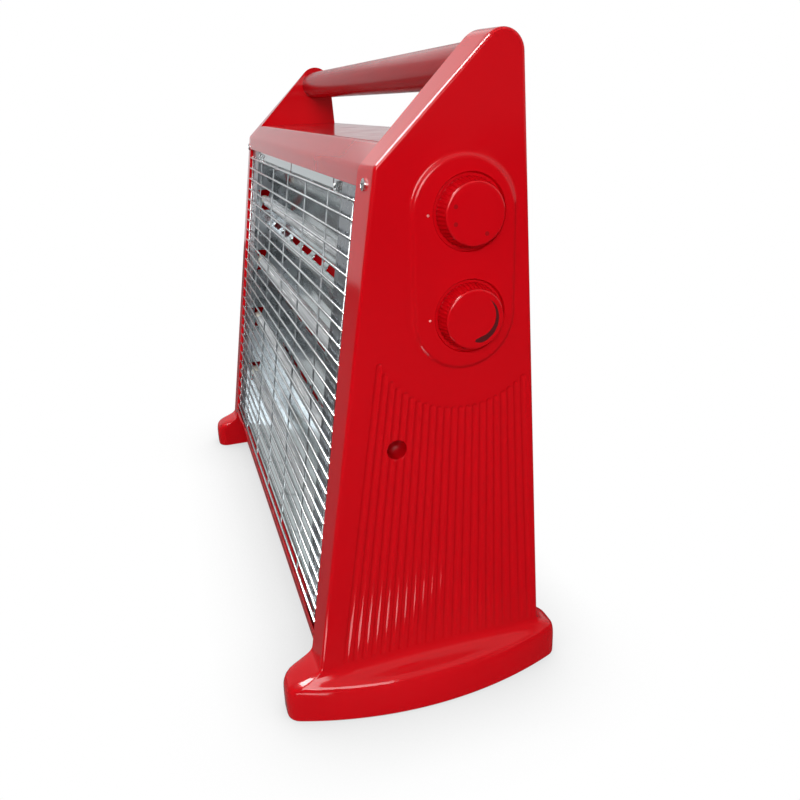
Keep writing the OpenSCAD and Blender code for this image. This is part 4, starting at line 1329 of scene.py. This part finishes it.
@dataclass
class Grille(Assembly):
    """Welded wire grille: level wires laid on uprights, along the leaning front."""

    panel: SidePanel
    lip_z: float = 375.5
    half: float = 239.0
    pitch: float = 12.0
    first: float = 9.6
    count: int = 27
    wire_r: float = 1.0
    wire_w: float = 0.99
    upright_r: float = 0.7
    upright_w: float = 2.4
    upright_pitch: float = 80.5
    side_upright: float = 231.0

    def place(self, x: float, v: float, w: float) -> Matrix:
        """Gives a placing on the leaning front.

        Args:
            x: Distance from the middle.
            v: Distance down the slope.
            w: Depth behind it.

        Returns:
            The placing, with y down the slope and z into it.
        """
        lean = math.radians(self.panel.front_lean)
        down = Vector((0, -math.sin(lean), -math.cos(lean)))
        deep = Vector((0, math.cos(lean), -math.sin(lean)))
        at = Vector((x, self.panel.front_y(self.lip_z), self.lip_z)) + down * v + deep * w
        turn = Matrix(((1, 0, 0), (0, down.y, deep.y), (0, down.z, deep.z))).to_4x4()
        return Matrix.Translation(at) @ turn

    def wire(self, r: float, half: float) -> Object:
        """Turns one cut wire with broken ends.

        Args:
            r: Its radius.
            half: Half its length.

        Returns:
            The wire.
        """
        end = [(0, half), (r * 0.75, half), (r, half - r * 0.35)]
        wire = turned("wire", end + [(a, -b) for a, b in end[::-1]], 14)
        smooth(wire, 50)
        return wire

    def build(self) -> None:
        """Makes each wire once and copies it into the grille."""
        length = (self.count - 1) * self.pitch + 2 * self.wire_r
        level, upright = self.wire(self.wire_r, self.half), self.wire(self.upright_r, length / 2)
        across = Matrix.Rotation(math.pi / 2, 4, "Y")
        down = Matrix.Rotation(-math.pi / 2, 4, "X")
        wires = [copied(level, f"wire_{i}",
                        self.place(0, self.first + i * self.pitch, self.wire_w) @ across)
                 for i in range(self.count)]
        inner = [i * self.upright_pitch for i in range(-2, 3)]
        half_way = self.first - self.wire_r + length / 2
        left, *bars, right = (
            copied(upright, f"upright_{i}", self.place(x, half_way, self.upright_w) @ down)
            for i, x in enumerate((-self.side_upright, *inner, self.side_upright)))
        for model in (level, upright):
            bpy.data.objects.remove(model)
        self.fit_out(joined("front_grille_wires", wires + [left, right]), "bright_wire",
                     Body.HEATER, "front_grille")
        # The inner uprights lie behind the wires; their darker plating is painted shade.
        self.fit_out(joined("front_grille_uprights", bars), "bright_wire", Body.HEATER,
                     material=self.finishes.shaded_upright_wire)


@dataclass
class Carried(Assembly):
    """CAD nodes that keep their shape: their round parts are merged and shaded smooth."""

    merge_mm: float = 0.001
    flat_angle: float = 0.5
    sharp_angle: float = 40.0
    folded: tuple[str, ...] = ("rear_panel", "reflector", "right_cheek", "left_cheek")

    def merge(self, node: str, body: Body) -> None:
        """Replaces a node by a merged, smoothly shaded copy.

        Args:
            node: The node.
            body: The body it rides on.
        """
        twin = copied(frame["nodes"][node], node + "_finished")
        for key in list(twin.keys()):
            del twin[key]
        twin.parent = None
        with editing(twin):
            bpy.ops.mesh.remove_doubles(threshold=self.merge_mm * MM)
            bpy.ops.mesh.dissolve_limited(angle_limit=math.radians(self.flat_angle))
        smooth(twin, self.sharp_angle, 100 if node in self.folded else 50)
        self.fit_out(twin, self.finishes.of_node[node], body, node)

    def build(self) -> None:
        """Carries over every node that no modelled piece stands for."""
        done = {n for o in bpy.data.objects for n in o.get("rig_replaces", [])}
        bodies = {node: Body(body) for body, nodes
                  in frame["record"]["behaviour"]["bodies"].items() for node in nodes}
        for node in sorted(set(frame["nodes"]) - done):
            self.merge(node, bodies[node])


# Stage, in metres and watts


@dataclass(frozen=True)
class Lamp:
    """A soft box that faces a point, with its size, power and spread in degrees."""

    name: str
    at: Point
    to: Point
    size: tuple[float, float]
    power: float
    spread: float = 180.0
    shows: Shows = Shows.BOTH

    def build(self) -> None:
        """Hangs the lamp."""
        data = bpy.data.lights.new(self.name, "AREA")
        data.shape = "RECTANGLE"
        data.size, data.size_y = self.size
        data.energy = self.power
        data.spread = math.radians(self.spread)
        box = bpy.data.objects.new(self.name, data)
        box.visible_camera = False
        box.visible_diffuse, box.visible_glossy = self.shows.value
        bpy.context.scene.collection.objects.link(box)
        aim = (Vector(self.to) - Vector(self.at)).to_track_quat("-Z", "Y")
        box.matrix_world = Matrix.Translation(self.at) @ aim.to_matrix().to_4x4()


@dataclass
class Stage:
    """Plain floor, white to the camera, with a dim room and soft lamps round it and the camera."""

    camera_mm: Point = (708.1, -151.2, 424.5)
    yaw: float = 17.289
    pitch: float = 21.788
    roll: float = -2.205
    focal_px: float = 753.56
    image_px: float = 800.0
    floor_size: float = 12.0
    floor_at: Point = (3.8, 0.0, -0.0002)
    patch_at: Point = (0.27, -0.04, 0.0)
    patch_half: Point = (0.085, 0.24, 1.0)
    shade_reach: float = 0.09
    shade_least: float = 0.5
    room_level: float = 0.3
    # Direction, where a pale wall or the ceiling starts and is full, and how bright it then is.
    walls: tuple[tuple[str, float, float, float, float], ...] = (
        ("X", -0.5, -0.75, 0.2, 0.74), ("Z", 0.45, 0.7, 0.0, 0.9), ("Y", 0.4, 0.7, 0.0, 0.8))
    lamps: tuple[Lamp, ...] = (
        Lamp("left_softbox", (-2.0, 0.0, 1.45), (0.2, 0.0, 0.4), (1.3, 0.85), 2.4),
        Lamp("top_softbox", (-0.55, -1.05, 2.2), (-0.55, 0, 0.35), (2.4, 0.28), 13),
        Lamp("right_softbox", (2.0, -0.55, 1.0), (0.25, 0, 0.25), (1.3, 0.9), 11.8, 100),
        Lamp("rear_softbox", (-0.3, 2.2, 0.75), (0, 0.1, 0.25), (1.8, 0.8), 9, 100,
             Shows.IN_COLOUR),
        Lamp("front_softbox", (-0.7, -2.3, 0.8), (0, 0, 0.2), (1.6, 0.9), 4.5, 100,
             Shows.IN_COLOUR),
        Lamp("left_fill", (-2.0, -0.4, 0.7), (-0.25, 0, 0.25), (1.3, 0.9), 7, 100,
             Shows.IN_COLOUR),
        # Light that reaches the red inside, which shows through the reflector's slots.
        Lamp("light_inside", (0, 0.022, 0.25), (0, 1, 0.25), (0.38, 0.28), 0.5),
        # Bright lines on the slope's edge and the wires, and short streaks in the flutes.
        Lamp("ceiling_strip", (-0.05, -1.12, 2.28), (-0.05, 0, 0.35), (2.1, 0.81), 170,
             shows=Shows.IN_GLOSS),
        Lamp("floor_glint", (0.352, -0.15, 0.002), (0.352, -0.15, 1), (0.045, 0.11), 0.1,
             shows=Shows.IN_GLOSS))

    def camera(self) -> None:
        """Sets the camera where the photograph was taken from."""
        data = bpy.data.cameras.new("photo_camera")
        data.sensor_width = 36.0
        data.lens = self.focal_px / self.image_px * data.sensor_width
        data.clip_start = 0.01
        eye = bpy.data.objects.new("photo_camera", data)
        bpy.context.scene.collection.objects.link(eye)
        place = Matrix.Translation(Vector(self.camera_mm) * MM)
        for angle, axis in ((90 - self.yaw, "Z"), (90 - self.pitch, "X"), (self.roll, "Z")):
            place @= Matrix.Rotation(math.radians(angle), 4, axis)
        eye.matrix_world = place
        bpy.context.scene.camera = eye

    def to_camera(self, tree: NodeTree, white: NodeSocket, other: NodeSocket) -> NodeSocket:
        """Shows white to the camera and through quartz, and something else to other rays.

        Args:
            tree: The nodes.
            white: What the camera sees.
            other: What lights the heater and shows in its gloss.

        Returns:
            The mixed shader.
        """
        path = add_node(tree, "LightPath").outputs
        seen = add_node(tree, "Math", {0: path["Is Camera Ray"], 1: path["Is Transmission Ray"]},
                        operation="MAXIMUM")
        mix = add_node(tree, "MixShader", {0: seen.outputs["Value"], 1: other, 2: white})
        return mix.outputs["Shader"]

    def floor(self) -> None:
        """Lays the floor: white to the camera, a dark table in the heater's gloss."""
        deselect()
        bpy.ops.mesh.primitive_plane_add(size=self.floor_size, location=self.floor_at)
        bpy.ops.object.transform_apply(location=True)
        floor = bpy.context.object
        floor.name = "floor"
        material, tree, place = new_material("pale_studio_floor")
        # A grey patch lies beside the right-hand panel; the table round it is darker.
        spot = add_node(tree, "Mapping", {
            "Vector": place, "Location": self.patch_at, "Scale": self.patch_half},
            vector_type="TEXTURE")
        off = add_node(tree, "VectorMath", {0: spot.outputs["Vector"]}, operation="LENGTH")
        far = add_node(tree, "MapRange", {
            "Value": off.outputs["Value"], "From Min": 0.75, "From Max": 1.1})
        tone = add_node(tree, "Mix", {
            "Factor": far.outputs["Result"], "A": linear("#585858"), "B": linear("#38383A")},
            data_type="RGBA")
        table = add_node(tree, "BsdfPrincipled", {
            "Base Color": tone.outputs["Result"], "Roughness": 0.9})
        # The camera sees white paper that keeps only the shade where the feet touch it.
        shade = add_node(tree, "AmbientOcclusion", {"Distance": self.shade_reach}, samples=8)
        level = add_node(tree, "MapRange", {
            "Value": shade.outputs["AO"], "To Min": self.shade_least, "To Max": 1.0})
        paper = add_node(tree, "Emission", {
            "Color": linear(WHITE), "Strength": level.outputs["Result"]})
        add_node(tree, "OutputMaterial", {"Surface": self.to_camera(
            tree, paper.outputs["Emission"], table.outputs["BSDF"])})
        floor.data.materials.append(material)

    def world(self) -> None:
        """Makes the room: white to the camera, and dim with pale walls in the heater's gloss."""
        world = bpy.data.worlds.new("white_studio")
        bpy.context.scene.world = world
        world.use_nodes = True
        tree = world.node_tree
        tree.nodes.clear()
        # Pale walls stand at the left and behind, under a pale ceiling; the rest is dim.
        aim = add_node(tree, "SeparateXYZ", {
            "Vector": add_node(tree, "TexCoord").outputs["Generated"]})
        pale = 0.0
        for axis, start, full, dim, bright in self.walls:
            wall = add_node(tree, "MapRange", {
                "Value": aim.outputs[axis], "From Min": start, "From Max": full,
                "To Min": dim, "To Max": bright})
            pale = add_node(tree, "Math", {0: pale, 1: wall.outputs["Result"]},
                            operation="MAXIMUM").outputs["Value"]
        glossy = add_node(tree, "LightPath").outputs["Is Glossy Ray"]
        level = add_node(tree, "Mix", {"Factor": glossy, "A": self.room_level, "B": pale})
        room = add_node(tree, "Background", {
            "Color": linear("#F2F4F6"), "Strength": level.outputs["Result"]})
        white = add_node(tree, "Background", {"Color": linear(WHITE), "Strength": 1.0})
        add_node(tree, "OutputWorld", {"Surface": self.to_camera(
            tree, white.outputs["Background"], room.outputs["Background"])})

    def build(self) -> None:
        """Builds the stage."""
        bpy.context.scene.view_settings.view_transform = "Standard"
        self.camera()
        self.floor()
        self.world()
        for lamp in self.lamps:
            lamp.build()


def main() -> None:
    """Builds the heater and its stage in order."""
    logging.basicConfig(level=logging.INFO, format="%(message)s")
    finishes = Finishes()
    Stage().build()
    panel = SidePanel(finishes)
    for side in Side:
        panel.build(side)
    for assembly in (Knobs, Handle, FoldedBody, Grille):
        assembly(finishes, panel).build()
    Carried(finishes).build()


if __name__ == "__main__":
    main()
